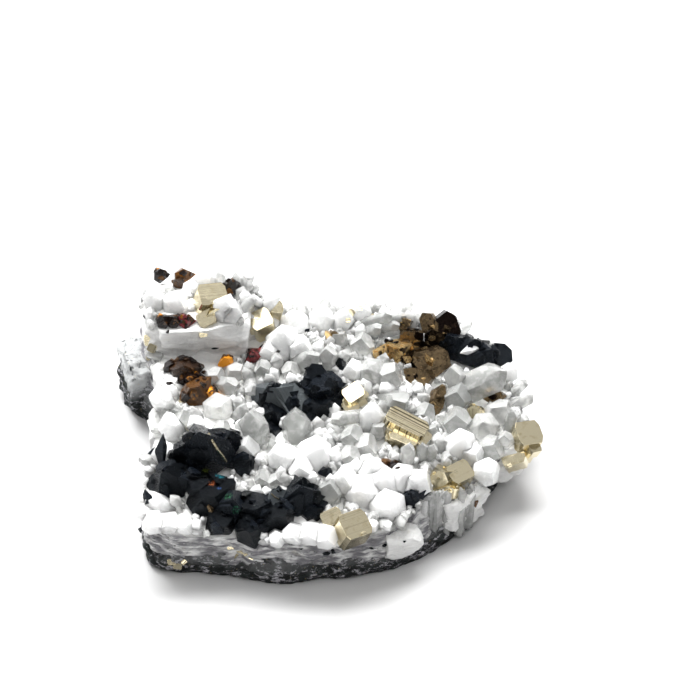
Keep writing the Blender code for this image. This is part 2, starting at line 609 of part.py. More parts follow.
def new_object(name, mesh, finish):
    """Make an object from a bmesh, with its finish as a Principled material."""
    data = bpy.data.meshes.new(name)
    mesh.to_mesh(data)
    mesh.free()
    thing = bpy.data.objects.new(name, data)
    bpy.context.scene.collection.objects.link(thing)
    if finish:
        material = bpy.data.materials.get(finish) or bpy.data.materials.new(finish)
        material.use_nodes = True
        shader = material.node_tree.nodes["Principled BSDF"]
        shader.inputs["Base Color"].default_value = (*FINISHES[finish].colour, 1.0)
        shader.inputs["Roughness"].default_value = FINISHES[finish].roughness
        shader.inputs["Metallic"].default_value = FINISHES[finish].metallic
        data.materials.append(material)
    return thing


def combine(thing, other, operation):
    """Apply an exact Boolean of the other object to the thing, and remove the other."""
    modifier = thing.modifiers.new(operation.title(), "BOOLEAN")
    modifier.operation = operation
    modifier.object = other
    modifier.use_self = True
    bpy.context.view_layer.update()
    result = bpy.data.meshes.new_from_object(
        thing.evaluated_get(bpy.context.evaluated_depsgraph_get())
    )
    thing.modifiers.clear()
    thing.data = result
    bpy.data.objects.remove(other)


def keep_largest_shell(thing):
    """Drop every loose shell but the one with the most room in it, and weld its seams."""
    mesh = bmesh.new()
    mesh.from_mesh(thing.data)
    bmesh.ops.remove_doubles(mesh, verts=mesh.verts, dist=WELD)
    bare = [edge for edge in mesh.edges if not edge.link_faces]
    bmesh.ops.delete(mesh, geom=bare, context="EDGES")
    bmesh.ops.triangulate(mesh, faces=mesh.faces)
    remaining = set(mesh.verts)
    shells = []
    while remaining:
        start = remaining.pop()
        shell = {start}
        edge_of_search = [start]
        while edge_of_search:
            vertex = edge_of_search.pop()
            for edge in vertex.link_edges:
                near = edge.other_vert(vertex)
                if near not in shell:
                    shell.add(near)
                    edge_of_search.append(near)
        remaining -= shell
        faces = {face for vertex in shell for face in vertex.link_faces}
        room = sum(
            face.verts[0].co.dot(face.verts[1].co.cross(face.verts[2].co)) / 6.0 for face in faces
        )
        shells.append((room, shell))
    shells.sort(key=lambda entry: entry[0])
    for _, shell in shells[:-1]:
        bmesh.ops.delete(mesh, geom=list(shell), context="VERTS")
    mesh.to_mesh(thing.data)
    mesh.free()


def settle(thing):
    """Move the mesh to the piece's own origin, under its middle, and turn it to metres."""
    shift = Matrix.Translation((-PLAN_CENTRE[0], -PLAN_CENTRE[1], 0.0))
    thing.data.transform(Matrix.Scale(MM, 4) @ shift)
    thing.data.update()


def build_matrix():
    """The plate with its lumps and quartz crystals in one solid, and a pocket for each ore."""
    bodies = [lump_body(lump) for lump in LUMPS]
    bodies += [quartz_body(crystal) for crystal in QUARTZ_CRYSTALS]
    bodies = [body.above_ground() for body in bodies]
    matrix = new_object("quartz_matrix", plate_mesh(), "quartz")
    combine(matrix, new_object("quartz_grown", bodies_mesh(bodies), None), "UNION")
    grown = [body.grown(ORE_GAP) for cluster in CLUSTERS for body in cluster_bodies(cluster)]
    combine(matrix, new_object("ore_pockets", bodies_mesh(grown), None), "DIFFERENCE")
    keep_largest_shell(matrix)
    settle(matrix)


def near_bodies(bodies, others):
    """Those of the others, grown by the gap, whose boxes meet the box of the bodies."""
    corners = np.concatenate([body.corners() for body in bodies])
    low, high = corners.min(axis=0), corners.max(axis=0)
    near = []
    for other in others:
        grown = other.grown(ORE_GAP)
        reach = grown.corners()
        if (reach.min(axis=0) < high).all() and (reach.max(axis=0) > low).all():
            near.append(grown)
    return near


def build_cluster(cluster, earlier):
    """The crystals of one cluster, united, with room left for the crystals that grew earlier."""
    bodies = cluster_bodies(cluster)
    thing = new_object(cluster.name, bodies_mesh(bodies[:1]), cluster.finish)
    if bodies[1:]:
        combine(thing, new_object("others", bodies_mesh(bodies[1:]), None), "UNION")
    near = near_bodies(bodies, earlier)
    if near:
        combine(thing, new_object("neighbours", bodies_mesh(near), None), "DIFFERENCE")
    keep_largest_shell(thing)
    settle(thing)
    return bodies


def main():
    """Clear the scene and build every piece."""
    for thing in list(bpy.data.objects):
        bpy.data.objects.remove(thing)
    build_matrix()
    earlier = []
    for cluster in CLUSTERS:
        earlier += build_cluster(cluster, earlier)


main()
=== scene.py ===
"""Looks of a specimen of pyrite, sphalerite and chalcopyrite crystals in quartz on host rock.

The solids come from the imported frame. Every piece here is worked out in millimetres in the plan
of the plate (x to the right, y to the back from the front rim, z up) and written in metres.
"""

from dataclasses import dataclass, field
from enum import Enum
import json
import logging
import math
import random
from typing import Any, Callable, Iterable, Sequence

import bmesh
import bpy
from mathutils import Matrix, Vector
import numpy as np

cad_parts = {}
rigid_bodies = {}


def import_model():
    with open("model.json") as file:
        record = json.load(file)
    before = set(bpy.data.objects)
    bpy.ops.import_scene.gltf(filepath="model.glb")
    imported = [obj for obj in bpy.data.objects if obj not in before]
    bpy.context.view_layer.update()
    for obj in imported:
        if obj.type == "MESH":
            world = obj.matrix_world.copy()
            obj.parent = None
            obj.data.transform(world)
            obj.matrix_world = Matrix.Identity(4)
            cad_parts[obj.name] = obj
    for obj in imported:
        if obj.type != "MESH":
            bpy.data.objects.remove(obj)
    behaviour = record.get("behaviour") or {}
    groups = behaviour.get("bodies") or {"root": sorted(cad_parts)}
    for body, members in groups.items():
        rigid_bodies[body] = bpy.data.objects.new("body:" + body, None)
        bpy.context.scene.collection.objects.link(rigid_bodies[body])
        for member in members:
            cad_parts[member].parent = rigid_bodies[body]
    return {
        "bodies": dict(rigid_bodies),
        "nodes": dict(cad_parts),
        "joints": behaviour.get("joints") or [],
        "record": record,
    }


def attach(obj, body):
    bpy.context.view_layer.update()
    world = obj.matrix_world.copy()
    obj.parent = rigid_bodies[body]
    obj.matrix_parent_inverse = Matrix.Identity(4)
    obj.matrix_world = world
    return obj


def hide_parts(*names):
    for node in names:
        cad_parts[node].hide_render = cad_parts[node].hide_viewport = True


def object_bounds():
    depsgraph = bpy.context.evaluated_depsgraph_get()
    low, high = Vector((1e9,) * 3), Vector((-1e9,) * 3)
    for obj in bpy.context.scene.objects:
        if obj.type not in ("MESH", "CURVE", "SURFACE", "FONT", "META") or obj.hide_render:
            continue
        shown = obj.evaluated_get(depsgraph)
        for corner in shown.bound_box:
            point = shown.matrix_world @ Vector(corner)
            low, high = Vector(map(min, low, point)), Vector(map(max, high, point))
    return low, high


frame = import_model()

Array = np.ndarray
LOG = logging.getLogger("specimen")

MM = 0.001
PLATE_DEPTH = 47.0
FRONT_THICKNESS = 7.6
BACK_THICKNESS = 12.6
RIGHT_FALL = 2.4
BLOCK_RISE = 5.4
BLOCK_FRONT_Y = 36.2
BLOCK_RIGHT_X = -11.0
PLAN_CENTRE = (-0.059, 23.1285)
PLATE_MIDDLE = (0.0, 24.0)

PIXEL = 0.142
VIEW_TILT = math.radians(43.0)
ZERO_PX = 329.0
ZERO_PY = 588.0

UNDERSIDE = [
    (-25.3, 4.8), (-23.5, 3.3), (-18.2, 2.7), (-13.8, 2.1), (-9.1, 0.6), (-5.5, 0.5), (-1.7, 1.4),
    (5.2, 2.4), (11.2, 4.4), (15.9, 7.7), (19.5, 11.9), (21.4, 16.0), (23.5, 20.5), (25.3, 26.0),
    (26.3, 31.0), (25.2, 37.0), (22.0, 42.0), (16.0, 45.3), (6.0, 46.2), (-6.0, 45.8),
    (-16.0, 46.2), (-24.0, 45.6), (-28.4, 43.2), (-29.8, 39.5), (-28.2, 36.2), (-25.4, 34.0),
    (-24.4, 30.0), (-24.9, 24.0), (-25.8, 16.0), (-26.4, 10.0),
]
TOP_RIM = [
    (-26.4, 5.4), (-22.0, 3.0), (-17.6, 2.6), (-12.4, 2.6), (-9.4, 1.4), (-5.5, 1.5), (-3.0, 1.3),
    (3.0, 2.4), (8.7, 3.8), (11.2, 6.6), (13.8, 9.8), (17.5, 12.5), (21.2, 15.0), (24.5, 19.5),
    (26.2, 24.0), (27.6, 28.5), (26.3, 34.0), (25.2, 38.0), (21.4, 41.3), (18.0, 43.2),
    (12.6, 44.2), (5.8, 45.0), (-4.0, 44.6), (-9.5, 44.9), (-15.2, 45.1), (-20.4, 45.6),
    (-24.3, 45.4), (-27.0, 43.0), (-26.4, 39.0), (-24.6, 35.0), (-23.4, 30.0), (-24.0, 24.0),
    (-25.6, 14.5), (-27.0, 9.5),
]


CAD_BOX = [tuple(corner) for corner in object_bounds()]


# Numbers and places


def smooth_step(value: Array) -> Array:
    """Ease from 0 to 1 as the value goes from 0 to 1: three squares less two cubes."""
    value = np.clip(value, 0.0, 1.0)
    return value * value * (3.0 - 2.0 * value)


def plate_top(x: Array, y: Array) -> Array:
    """Height of the plate's top.

    The front thickness, plus a climb that grows with y to the power 0.8, less an eased fall
    towards the right.

    Args:
        x: Places to the right, in millimetres.
        y: Places to the back.

    Returns:
        The heights.
    """
    climb = (BACK_THICKNESS - FRONT_THICKNESS) * np.clip(y / PLATE_DEPTH, 0.0, 1.0) ** 0.8
    return FRONT_THICKNESS + climb - RIGHT_FALL * smooth_step((x - 6.0) / 22.0)


def crystal_floor(x: Array, y: Array) -> Array:
    """Height that crystals stand on: the plate's top, with the block's rise at the back left."""
    ahead = smooth_step((y - BLOCK_FRONT_Y) / 0.8)
    beside = smooth_step((BLOCK_RIGHT_X - x) / 1.6 + 0.5)
    return plate_top(x, y) + BLOCK_RISE * ahead * beside


def seat(px: Array, py: Array, reach: Array) -> Array:
    """Feet on the crystal floor of bodies whose middles, foot + reach, show at the pixels.

    The foot's x follows from the pixel's column. Its y is stepped towards the place where the
    picture's up direction, y sin tilt + z cos tilt, meets the pixel's row.

    Args:
        px: Columns of the picture.
        py: Rows of the picture.
        reach: One row of three numbers a body, from its foot to its middle.

    Returns:
        One row of three numbers a foot.
    """
    x = (np.asarray(px) - ZERO_PX) * PIXEL - reach[:, 0]
    up = (ZERO_PY - np.asarray(py)) * PIXEL
    y = np.full_like(x, PLATE_DEPTH / 2.0)
    z = np.full_like(x, BACK_THICKNESS)
    for _ in range(40):
        level = (z + reach[:, 2]) * math.cos(VIEW_TILT)
        y = y + 0.5 * ((up - level) / math.sin(VIEW_TILT) - reach[:, 1] - y)
        z = crystal_floor(x, y)
    return np.stack((x, y, z), axis=1)


def unit(vectors: Array) -> Array:
    """The vectors at length 1."""
    vectors = np.asarray(vectors, float)
    return vectors / np.linalg.norm(vectors, axis=-1, keepdims=True)


def lean_axes(right: Array, front: Array) -> Array:
    """Unit directions that lean from upright by degrees to the right and to the front.

    Upright is turned about X by the front angle, then about Y by the right angle.
    """
    right, front = np.radians(right), np.radians(front)
    return np.stack(
        (np.cos(front) * np.sin(right), -np.sin(front), np.cos(front) * np.cos(right)), axis=-1
    )


def turned_frames(axes: Array, turn: Array) -> Array:
    """Square matrices whose columns are two sideways directions and the axis.

    The first sideways direction is Y cross axis, turned about the axis by degrees.
    """
    sideways = unit(np.cross(np.array((0.0, 1.0, 0.0)), axes))
    other = np.cross(axes, sideways)
    angle = np.radians(turn)[:, None]
    first = np.cos(angle) * sideways + np.sin(angle) * other
    return np.stack((first, np.cross(axes, first), axes), axis=-1)


class Roughness:
    """Repeatable noise: random values on a lattice, blended between by eased steps."""

    def __init__(self, seed: int, size: int = 64) -> None:
        """Fill a lattice of the size with values from -1 to 1, from the seed."""
        self.size = size
        self.values = np.random.default_rng(seed).uniform(-1.0, 1.0, (size, size, size))

    def at(self, points: Array, grain: Sequence[float]) -> Array:
        """Noise from -1 to 1 at points, one lattice step a grain along each axis.

        The eight values round a point are blended with weights eased along each axis.
        """
        places = points / np.asarray(grain)
        cell = np.floor(places).astype(int)
        part = smooth_step(places - cell)
        total = np.zeros(points.shape[:-1])
        for corner in range(8):
            step = np.array((corner & 1, corner >> 1 & 1, corner >> 2 & 1))
            i, j, k = np.moveaxis((cell + step) % self.size, -1, 0)
            weight = np.prod(np.where(step == 1, part, 1.0 - part), axis=-1)
            total += weight * self.values[i, j, k]
        return total

    def layers(self, points: Array, grain: Sequence[float], octaves: int = 4) -> Array:
        """Sum of noise at ever finer grain, each octave half as fine and half as strong."""
        grain = np.asarray(grain, float)
        return sum(
            self.at(points + 7.3 * octave, grain / 2.0**octave) / 2.0**octave
            for octave in range(octaves)
        )


def three(rng: random.Random, low: float, high: float) -> Array:
    """Three random numbers between two limits."""
    return np.array([rng.uniform(low, high) for _ in range(3)])


BOX_CORNERS = [
    np.array([1.0 if corner >> bit & 1 else -1.0 for bit in range(3)]) for corner in range(8)
]


# Meshes


def hold_in_box(points: Array) -> Array:
    """Points in metres, brought inside the solids' box where a rough surface would pass it."""
    low, high = (np.array(corner) for corner in CAD_BOX)
    return np.clip(points, low + 1e-6, high - 1e-6)


def to_world(points: Array) -> Array:
    """Plan millimetres to the frame's metres, held inside the solids' box."""
    shift = np.array((*PLAN_CENTRE, 0.0))
    return hold_in_box((points.reshape(-1, 3) - shift) * MM)


def new_piece(name: str, points: Array, faces: Iterable[Array]) -> bpy.types.Object:
    """Make a mesh object from points and faces.

    Args:
        name: The piece's name.
        points: Corner points in metres, one row each.
        faces: Arrays of corner numbers, each array one row a face and one length a row.

    Returns:
        The object, linked to the scene.
    """
    faces = [np.asarray(rows) for rows in faces]
    loops = np.concatenate([rows.ravel() for rows in faces]).astype(np.int32)
    counts = np.concatenate([np.full(len(rows), rows.shape[1]) for rows in faces])
    starts = np.concatenate(([0], np.cumsum(counts)[:-1])).astype(np.int32)
    mesh = bpy.data.meshes.new(name)
    mesh.vertices.add(len(points))
    mesh.vertices.foreach_set("co", points.astype(np.float32).ravel())
    mesh.loops.add(len(loops))
    mesh.loops.foreach_set("vertex_index", loops)
    mesh.polygons.add(len(counts))
    mesh.polygons.foreach_set("loop_start", starts)
    mesh.update(calc_edges=True)
    mesh.validate()
    piece = bpy.data.objects.new(name, mesh)
    bpy.context.scene.collection.objects.link(piece)
    return piece


def grid_faces(rows: int, columns: int) -> Array:
    """Four-sided faces of a grid whose columns run round and close on themselves.

    Args:
        rows: How many rows of points.
        columns: How many points in a row.

    Returns:
        One row of four corner numbers a face.
    """
    row, column = np.meshgrid(np.arange(rows - 1), np.arange(columns), indexing="ij")
    following = (column + 1) % columns
    quads = (row * columns + column, row * columns + following,
             (row + 1) * columns + following, (row + 1) * columns + column)
    return np.stack(quads, axis=-1).reshape(-1, 4)


def set_point_values(piece: bpy.types.Object, name: str, values: Array) -> None:
    """Store one number a point on the piece, for its material to read."""
    store = piece.data.attributes.new(name, "FLOAT", "POINT")
    store.data.foreach_set("value", values.astype(np.float32).ravel())


def face_outward(piece: bpy.types.Object) -> None:
    """Turn every face of the piece's closed shells outwards."""
    mesh = bmesh.new()
    mesh.from_mesh(piece.data)
    bmesh.ops.recalc_face_normals(mesh, faces=mesh.faces)
    mesh.to_mesh(piece.data)
    mesh.free()


def ring_piece(name: str, points: Array, columns: int) -> bpy.types.Object:
    """Make a closed piece from rings of points, with a point that shuts each end.

    Args:
        name: The piece's name.
        points: The rings one after another, then the point that shuts the first ring and the
            one that shuts the last, in plan millimetres.
        columns: How many points a ring has.

    Returns:
        The piece, its faces outwards.
    """
    first, second = len(points) - 2, len(points) - 1
    column = np.arange(columns)
    following = (column + 1) % columns
    last = first - columns
    fans = [
        np.stack((np.full_like(column, first), column, following), axis=-1),
        np.stack((np.full_like(column, second), last + following, last + column), axis=-1),
    ]
    quads = grid_faces(first // columns, columns)[:, ::-1]
    piece = new_piece(name, to_world(points), [quads, *fans])
    face_outward(piece)
    return piece


def dress(
    piece: bpy.types.Object, material: bpy.types.Material, nodes: Sequence[str]
) -> None:
    """Give a piece its material, its body and the solids that it stands for."""
    piece.data.materials.append(material)
    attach(piece, "root")
    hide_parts(*nodes)
    LOG.info("%s: %d faces", piece.name, len(piece.data.polygons))


# Shader arithmetic


class Number:
    """A number that a shader socket gives, with arithmetic that adds Math nodes."""

    def __init__(self, paint: "Paint", socket: bpy.types.NodeSocket) -> None:
        """Keep the material's nodes and the socket."""
        self.paint = paint
        self.socket = socket

    def _with(self, operation: str, first: Any, second: Any = 0.0) -> "Number":
        """The result of one Math node on two numbers."""
        return self.paint.number("ShaderNodeMath", {"operation": operation}, {0: first, 1: second})

    def __add__(self, other: Any) -> "Number":
        """This number plus the other."""
        return self._with("ADD", self, other)

    def __radd__(self, other: Any) -> "Number":
        """The other plus this number."""
        return self._with("ADD", other, self)

    def __sub__(self, other: Any) -> "Number":
        """This number less the other."""
        return self._with("SUBTRACT", self, other)

    def __mul__(self, other: Any) -> "Number":
        """This number times the other."""
        return self._with("MULTIPLY", self, other)

    def __rmul__(self, other: Any) -> "Number":
        """The other times this number."""
        return self._with("MULTIPLY", other, self)

    def highest(self, other: Any) -> "Number":
        """The larger of this number and the other."""
        return self._with("MAXIMUM", self, other)


class Paint:
    """The nodes of one material, with a Principled shader at their end."""

    def __init__(self, name: str) -> None:
        """Make the material and find its shader."""
        self.material = bpy.data.materials.new(name)
        self.material.use_nodes = True
        self.tree = self.material.node_tree
        self.shader = self.tree.nodes["Principled BSDF"]
        self._place: bpy.types.NodeSocket | None = None

    def node(self, kind: str, settings: dict[str, Any], inputs: dict[Any, Any]) -> bpy.types.Node:
        """Add a node.

        Args:
            kind: The node's type.
            settings: Its own settings by name.
            inputs: Values, sockets or Numbers, by the input's name or number.

        Returns:
            The node.
        """
        node = self.tree.nodes.new(kind)
        for name, value in settings.items():
            setattr(node, name, value)
        for key, value in inputs.items():
            if isinstance(value, Number):
                value = value.socket
            if isinstance(value, bpy.types.NodeSocket):
                self.tree.links.new(value, node.inputs[key])
            else:
                node.inputs[key].default_value = value
        return node

    def number(
        self, kind: str, settings: dict[str, Any], inputs: dict[Any, Any], output: Any = 0
    ) -> Number:
        """Add a node and take one of its outputs as a number."""
        return Number(self, self.node(kind, settings, inputs).outputs[output])

    def place(self) -> bpy.types.NodeSocket:
        """The piece's own coordinates in millimetres."""
        if self._place is None:
            coordinates = self.node("ShaderNodeTexCoord", {}, {}).outputs["Object"]
            scaled = self.node(
                "ShaderNodeVectorMath", {"operation": "SCALE"}, {0: coordinates, "Scale": 1000.0}
            )
            self._place = scaled.outputs[0]
        return self._place

    def stretched(self, grain: Sequence[float]) -> bpy.types.NodeSocket:
        """The piece's coordinates, one step a grain along each axis."""
        steps = tuple(1.0 / length for length in grain)
        return self.node(
            "ShaderNodeVectorMath", {"operation": "MULTIPLY"}, {0: self.place(), 1: steps}
        ).outputs[0]

    def noise(self, grain: Sequence[float], detail: float = 3.0, rough: float = 0.55) -> Number:
        """Layered noise from 0 to 1 at a grain in millimetres along each axis."""
        inputs = {"Vector": self.stretched(grain), "Scale": 1.0, "Detail": detail,
                  "Roughness": rough}
        return self.number("ShaderNodeTexNoise", {}, inputs, "Fac")

    def cells(self, grain: Sequence[float]) -> Number:
        """Distance to the nearest of scattered points, at a grain in millimetres."""
        inputs = {"Vector": self.stretched(grain), "Scale": 1.0}
        return self.number("ShaderNodeTexVoronoi", {}, inputs, "Distance")

    def stripes(self, across: Number, pitch: float, detail: float = 2.0) -> Number:
        """Uneven stripes of 0 to 1 across a number, about one in a pitch."""
        inputs = {"W": across * (1.0 / pitch), "Scale": 1.0, "Detail": detail}
        return self.number("ShaderNodeTexNoise", {"noise_dimensions": "1D"}, inputs, "Fac")

    def stored(self, name: str) -> Number:
        """A number stored on the piece's points or corners."""
        return self.number("ShaderNodeAttribute", {"attribute_name": name}, {}, "Fac")

    def ramp(self, value: Number, low: float, high: float) -> Number:
        """The value run from 0 at low to 1 at high, held outside."""
        inputs = {"Value": value, "From Min": low, "From Max": high}
        return self.number("ShaderNodeMapRange", {"interpolation_type": "SMOOTHSTEP"}, inputs)

    def mix(self, factor: Any, first: Any, second: Any) -> bpy.types.NodeSocket:
        """Mix two colours by a factor from 0 to 1."""
        inputs = {0: factor, 6: first, 7: second}
        return self.node("ShaderNodeMix", {"data_type": "RGBA"}, inputs).outputs[2]

    def near(self, point: Array, radius: float) -> Number:
        """1 at a point in plan millimetres, easing to 0 at the radius."""
        target = tuple((np.asarray(point) - (*PLAN_CENTRE, 0.0)).tolist())
        away = self.node(
            "ShaderNodeVectorMath", {"operation": "DISTANCE"}, {0: self.place(), 1: target}
        )
        return self.ramp(Number(self, away.outputs["Value"]), radius, radius * 0.35)

    def bump(self, height: Number, depth: float) -> None:
        """Bend the surface's normal by a height of 0 to 1, the depth in millimetres."""
        bump = self.node("ShaderNodeBump", {}, {"Height": height, "Distance": depth * MM})
        self.tree.links.new(bump.outputs[0], self.shader.inputs["Normal"])

    def feed(self, **sockets: Any) -> None:
        """Link numbers or colours to the shader's inputs, named with _ for a space."""
        for name, value in sockets.items():
            socket = value.socket if isinstance(value, Number) else value
            self.tree.links.new(socket, self.shader.inputs[name.replace("_", " ")])

    def fix(self, **values: Any) -> None:
        """Set constants on the shader's inputs, named with _ for a space."""
        for name, value in values.items():
            self.shader.inputs[name.replace("_", " ")].default_value = value


def rgb(red: float, green: float, blue: float) -> tuple[float, float, float, float]:
    """A colour as four numbers."""
    return red, green, blue, 1.0


class Slot(Enum):
    """Material slots of the record."""

    QUARTZ = "quartz"
    CLEAR = "clear_quartz"
    HOST = "host_rock"
    PYRITE = "pyrite"
    BLACK = "black_sphalerite"
    BROWN = "brown_sphalerite"
    CHALCOPYRITE = "chalcopyrite"


@dataclass(frozen=True)
class QuartzFinish:
    """Look of quartz crystals: how milky they are and how much light they let through."""

    name: str
    pale: tuple[float, float, float, float]
    grey: tuple[float, float, float, float]
    transmission: float
    roughness: float
    absorption: float = 0.0
    glow: float = 0.0

    def material(self) -> bpy.types.Material:
        """Frosted quartz: a tone a crystal, cloudy veils, and fine lines across the prism.

        Returns:
            The material.
        """
        paint = Paint(self.name)
        tint = paint.stored("tint")
        veil = paint.ramp(paint.noise((0.9, 0.9, 0.9), 5.0, 0.62), 0.42, 0.62)
        tone = paint.ramp(tint * 0.65 + veil * 0.55, 0.1, 1.05)
        paint.feed(Base_Color=paint.mix(tone, self.grey, self.pale))
        along = paint.stored("along")
        lines = paint.stripes(along, 0.16, 3.0)
        grain = paint.noise((0.6, 0.6, 0.6), 3.0)
        paint.bump(lines * 0.5 + grain * 0.4, 0.035)
        paint.feed(Roughness=self.roughness + 0.22 * paint.noise((0.5, 0.5, 0.5), 3.0) - 0.08)
        paint.fix(Transmission_Weight=self.transmission, IOR=1.54)
        if self.glow:
            paint.fix(Subsurface_Weight=self.glow, Subsurface_Scale=0.0024,
                      Subsurface_Radius=(1.0, 1.0, 1.0))
        if self.absorption:
            absorb = paint.node(
                "ShaderNodeVolumeAbsorption", {},
                {"Color": rgb(0.87, 0.88, 0.865), "Density": self.absorption},
            )
            output = paint.tree.nodes["Material Output"]
            paint.tree.links.new(absorb.outputs[0], output.inputs["Volume"])
        return paint.material


MILKY = QuartzFinish(
    "milky_quartz", rgb(0.98, 0.98, 0.97), rgb(0.76, 0.765, 0.76), 0.12, 0.11, glow=0.7
)
CLEAR = QuartzFinish(
    "glassy_quartz", rgb(0.93, 0.93, 0.915), rgb(0.62, 0.63, 0.615), 0.62, 0.09, 70.0
)


def massive_quartz() -> bpy.types.Material:
    """White massive quartz, grey and layered down its broken walls, with dark specks.

    Returns:
        The material.
    """
    paint = Paint("massive_quartz")
    layers = paint.noise((3.2, 3.2, 0.42), 6.0, 0.62)
    patches = paint.noise((2.6, 2.6, 1.6), 4.0)
    wall = paint.stored("wall")
    greyness = paint.ramp(layers * 0.7 + patches * 0.4, 0.39, 0.62) * wall
    colour = paint.mix(greyness, rgb(0.88, 0.88, 0.865), rgb(0.17, 0.165, 0.18))
    stain = paint.ramp(paint.noise((2.1, 2.1, 2.1), 5.0), 0.60, 0.74) * 0.45
    colour = paint.mix(stain, colour, rgb(0.62, 0.60, 0.50))
    specks = paint.ramp(paint.noise((0.55, 0.55, 0.30), 5.0, 0.7), 0.58, 0.66)
    speckled = specks * paint.ramp(paint.noise((2.4, 2.4, 0.9), 3.0), 0.44, 0.54) * wall
    paint.feed(Base_Color=paint.mix(speckled, colour, rgb(0.025, 0.032, 0.03)))
    paint.feed(Roughness=paint.noise((0.6, 0.6, 0.4), 3.0) * 0.45 + 0.22)
    paint.bump(paint.noise((0.30, 0.30, 0.14), 6.0, 0.65) + layers * 0.8, 0.16)
    paint.fix(IOR=1.54)
    return paint.material


def host_rock() -> bpy.types.Material:
    """Dark green chlorite rock with pale grains, and its flakes painted as light golden flecks
    that stand in for their glints.

    Returns:
        The material.
    """
    paint = Paint("chlorite_rock")
    broad = paint.noise((1.5, 1.5, 0.7), 5.0, 0.6)
    colour = paint.mix(
        paint.ramp(broad, 0.38, 0.62), rgb(0.002, 0.0025, 0.0025), rgb(0.014, 0.019, 0.018)
    )
    pale = paint.ramp(paint.noise((1.3, 1.3, 0.55), 6.0, 0.78), 0.53, 0.60)
    colour = paint.mix(pale * 0.9, colour, rgb(0.44, 0.43, 0.46))
    veined = paint.ramp(paint.noise((1.3, 1.3, 1.6), 6.0, 0.65), 0.30, 0.48)
    # Pale veins, stronger higher up: partly the rock's own frosting, partly painted light from
    # above.
    colour = paint.mix(paint.stored("pale") * veined, colour, rgb(0.44, 0.45, 0.45))
    # Painted glints: the rock's flakes as light golden flecks in the base colour.
    flake_glints = paint.ramp(paint.cells((0.9, 0.9, 0.6)), 0.12, 0.06)
    paint.feed(Base_Color=paint.mix(flake_glints * 0.6, colour, rgb(0.52, 0.42, 0.20)))
    paint.feed(Roughness=paint.noise((0.3, 0.3, 0.3), 3.0) * 0.5 + 0.3)
    paint.bump(paint.noise((0.32, 0.32, 0.18), 6.0, 0.7), 0.18)
    paint.fix(Specular_IOR_Level=0.2)
    return paint.material


def pyrite() -> bpy.types.Material:
    """Pale brass metal with uneven growth lines on every face, their grooves painted dark as
    shade.

    Returns:
        The material.
    """
    paint = Paint("pale_brass_pyrite")
    lines = paint.stripes(paint.stored("across"), 0.30, 1.5)
    tarnish = paint.ramp(paint.noise((1.0, 1.0, 1.0), 4.0), 0.50, 0.72)
    striped = paint.ramp(paint.stored("shade"), 0.15, 0.9)
    bold = paint.ramp(paint.stored("shade"), 0.96, 1.0)
    colour = paint.mix(tarnish * 0.4, rgb(0.76, 0.68, 0.48), rgb(0.50, 0.40, 0.21))
    # Painted shade: the grooves of the growth lines are darkened, most on the crystals of highest
    # shade.
    furrow_shade = paint.ramp(lines, 0.48, 0.38) * (striped * 0.4 + bold * 0.5)
    paint.feed(Base_Color=paint.mix(furrow_shade, colour, rgb(0.10, 0.07, 0.03)))
    paint.feed(Roughness=paint.noise((0.8, 0.8, 0.8), 3.0) * 0.20 + 0.12)
    paint.bump(lines * striped + paint.noise((0.9, 0.9, 0.9), 3.0) * 0.5, 0.025)
    paint.fix(Metallic=1.0)
    return paint.material


@dataclass(frozen=True)
class Gleam:
    """A patch of film colours on the black crystals: its pixel, reach and colour."""

    px: float
    py: float
    reach: float
    colour: tuple[float, float, float, float]


GLEAMS = [
    Gleam(220, 475, 1.1, rgb(0.02, 0.16, 0.20)),
    Gleam(229, 471, 0.9, rgb(0.40, 0.32, 0.08)),
    Gleam(206, 470, 0.8, rgb(0.18, 0.22, 0.04)),
    Gleam(212, 484, 0.9, rgb(0.36, 0.10, 0.03)),
    Gleam(219, 488, 0.6, rgb(0.04, 0.09, 0.24)),
    Gleam(229, 496, 1.0, rgb(0.05, 0.20, 0.09)),
    Gleam(236, 509, 1.0, rgb(0.04, 0.18, 0.10)),
]


def black_sphalerite(seen: Callable[[float, float], Array]) -> bpy.types.Material:
    """Black, near metallic sphalerite, with film colours on its front group, and a painted
    blue-grey sheen, standing in for the lamp's reflection, on the crystals of highest shade.

    Args:
        seen: Gives the place on the front group that shows at a pixel.

    Returns:
        The material.
    """
    paint = Paint("black_sphalerite_gloss")
    shade = paint.stored("shade")
    cloud = paint.noise((0.9, 0.9, 0.9), 5.0, 0.6)
    tone = paint.ramp(shade * 0.7 + cloud * 0.5, 0.35, 1.0)
    colour = paint.mix(tone, rgb(0.0004, 0.0007, 0.0011), rgb(0.003, 0.0045, 0.007))
    # Painted sheen: crystals whose shade passes 1.3 get a lighter blue-grey base colour in place
    # of the lamp's reflection on their faces.
    colour = paint.mix(paint.ramp(shade, 1.3, 2.0), colour, rgb(0.085, 0.095, 0.10))
    dust = paint.ramp(paint.noise((0.16, 0.16, 0.16), 3.0), 0.66, 0.74)
    colour = paint.mix(dust * 0.22, colour, rgb(0.30, 0.32, 0.30))
    broken = paint.noise((0.22, 0.5, 0.18), 5.0, 0.7)
    film = None
    for gleam in GLEAMS:
        close = paint.near(seen(gleam.px, gleam.py), gleam.reach * 1.3)
        part = paint.ramp(close * 0.5 + broken, 0.97, 1.10)
        colour = paint.mix(part, colour, gleam.colour)
        film = part if film is None else film.highest(part)
    paint.feed(Base_Color=colour)
    paint.feed(Metallic=film * 0.6)
    paint.feed(Roughness=paint.ramp(shade + cloud * 0.6, 0.2, 1.5) * 0.24 + 0.08)
    steps = paint.stripes(paint.stored("across"), 0.22, 3.0)
    paint.bump(steps * 0.8 + paint.noise((0.34, 0.34, 0.34), 6.0, 0.7) * 1.5, 0.11)
    paint.fix(IOR=1.5, Specular_IOR_Level=0.26, Specular_Tint=rgb(0.78, 0.88, 1.0))
    return paint.material


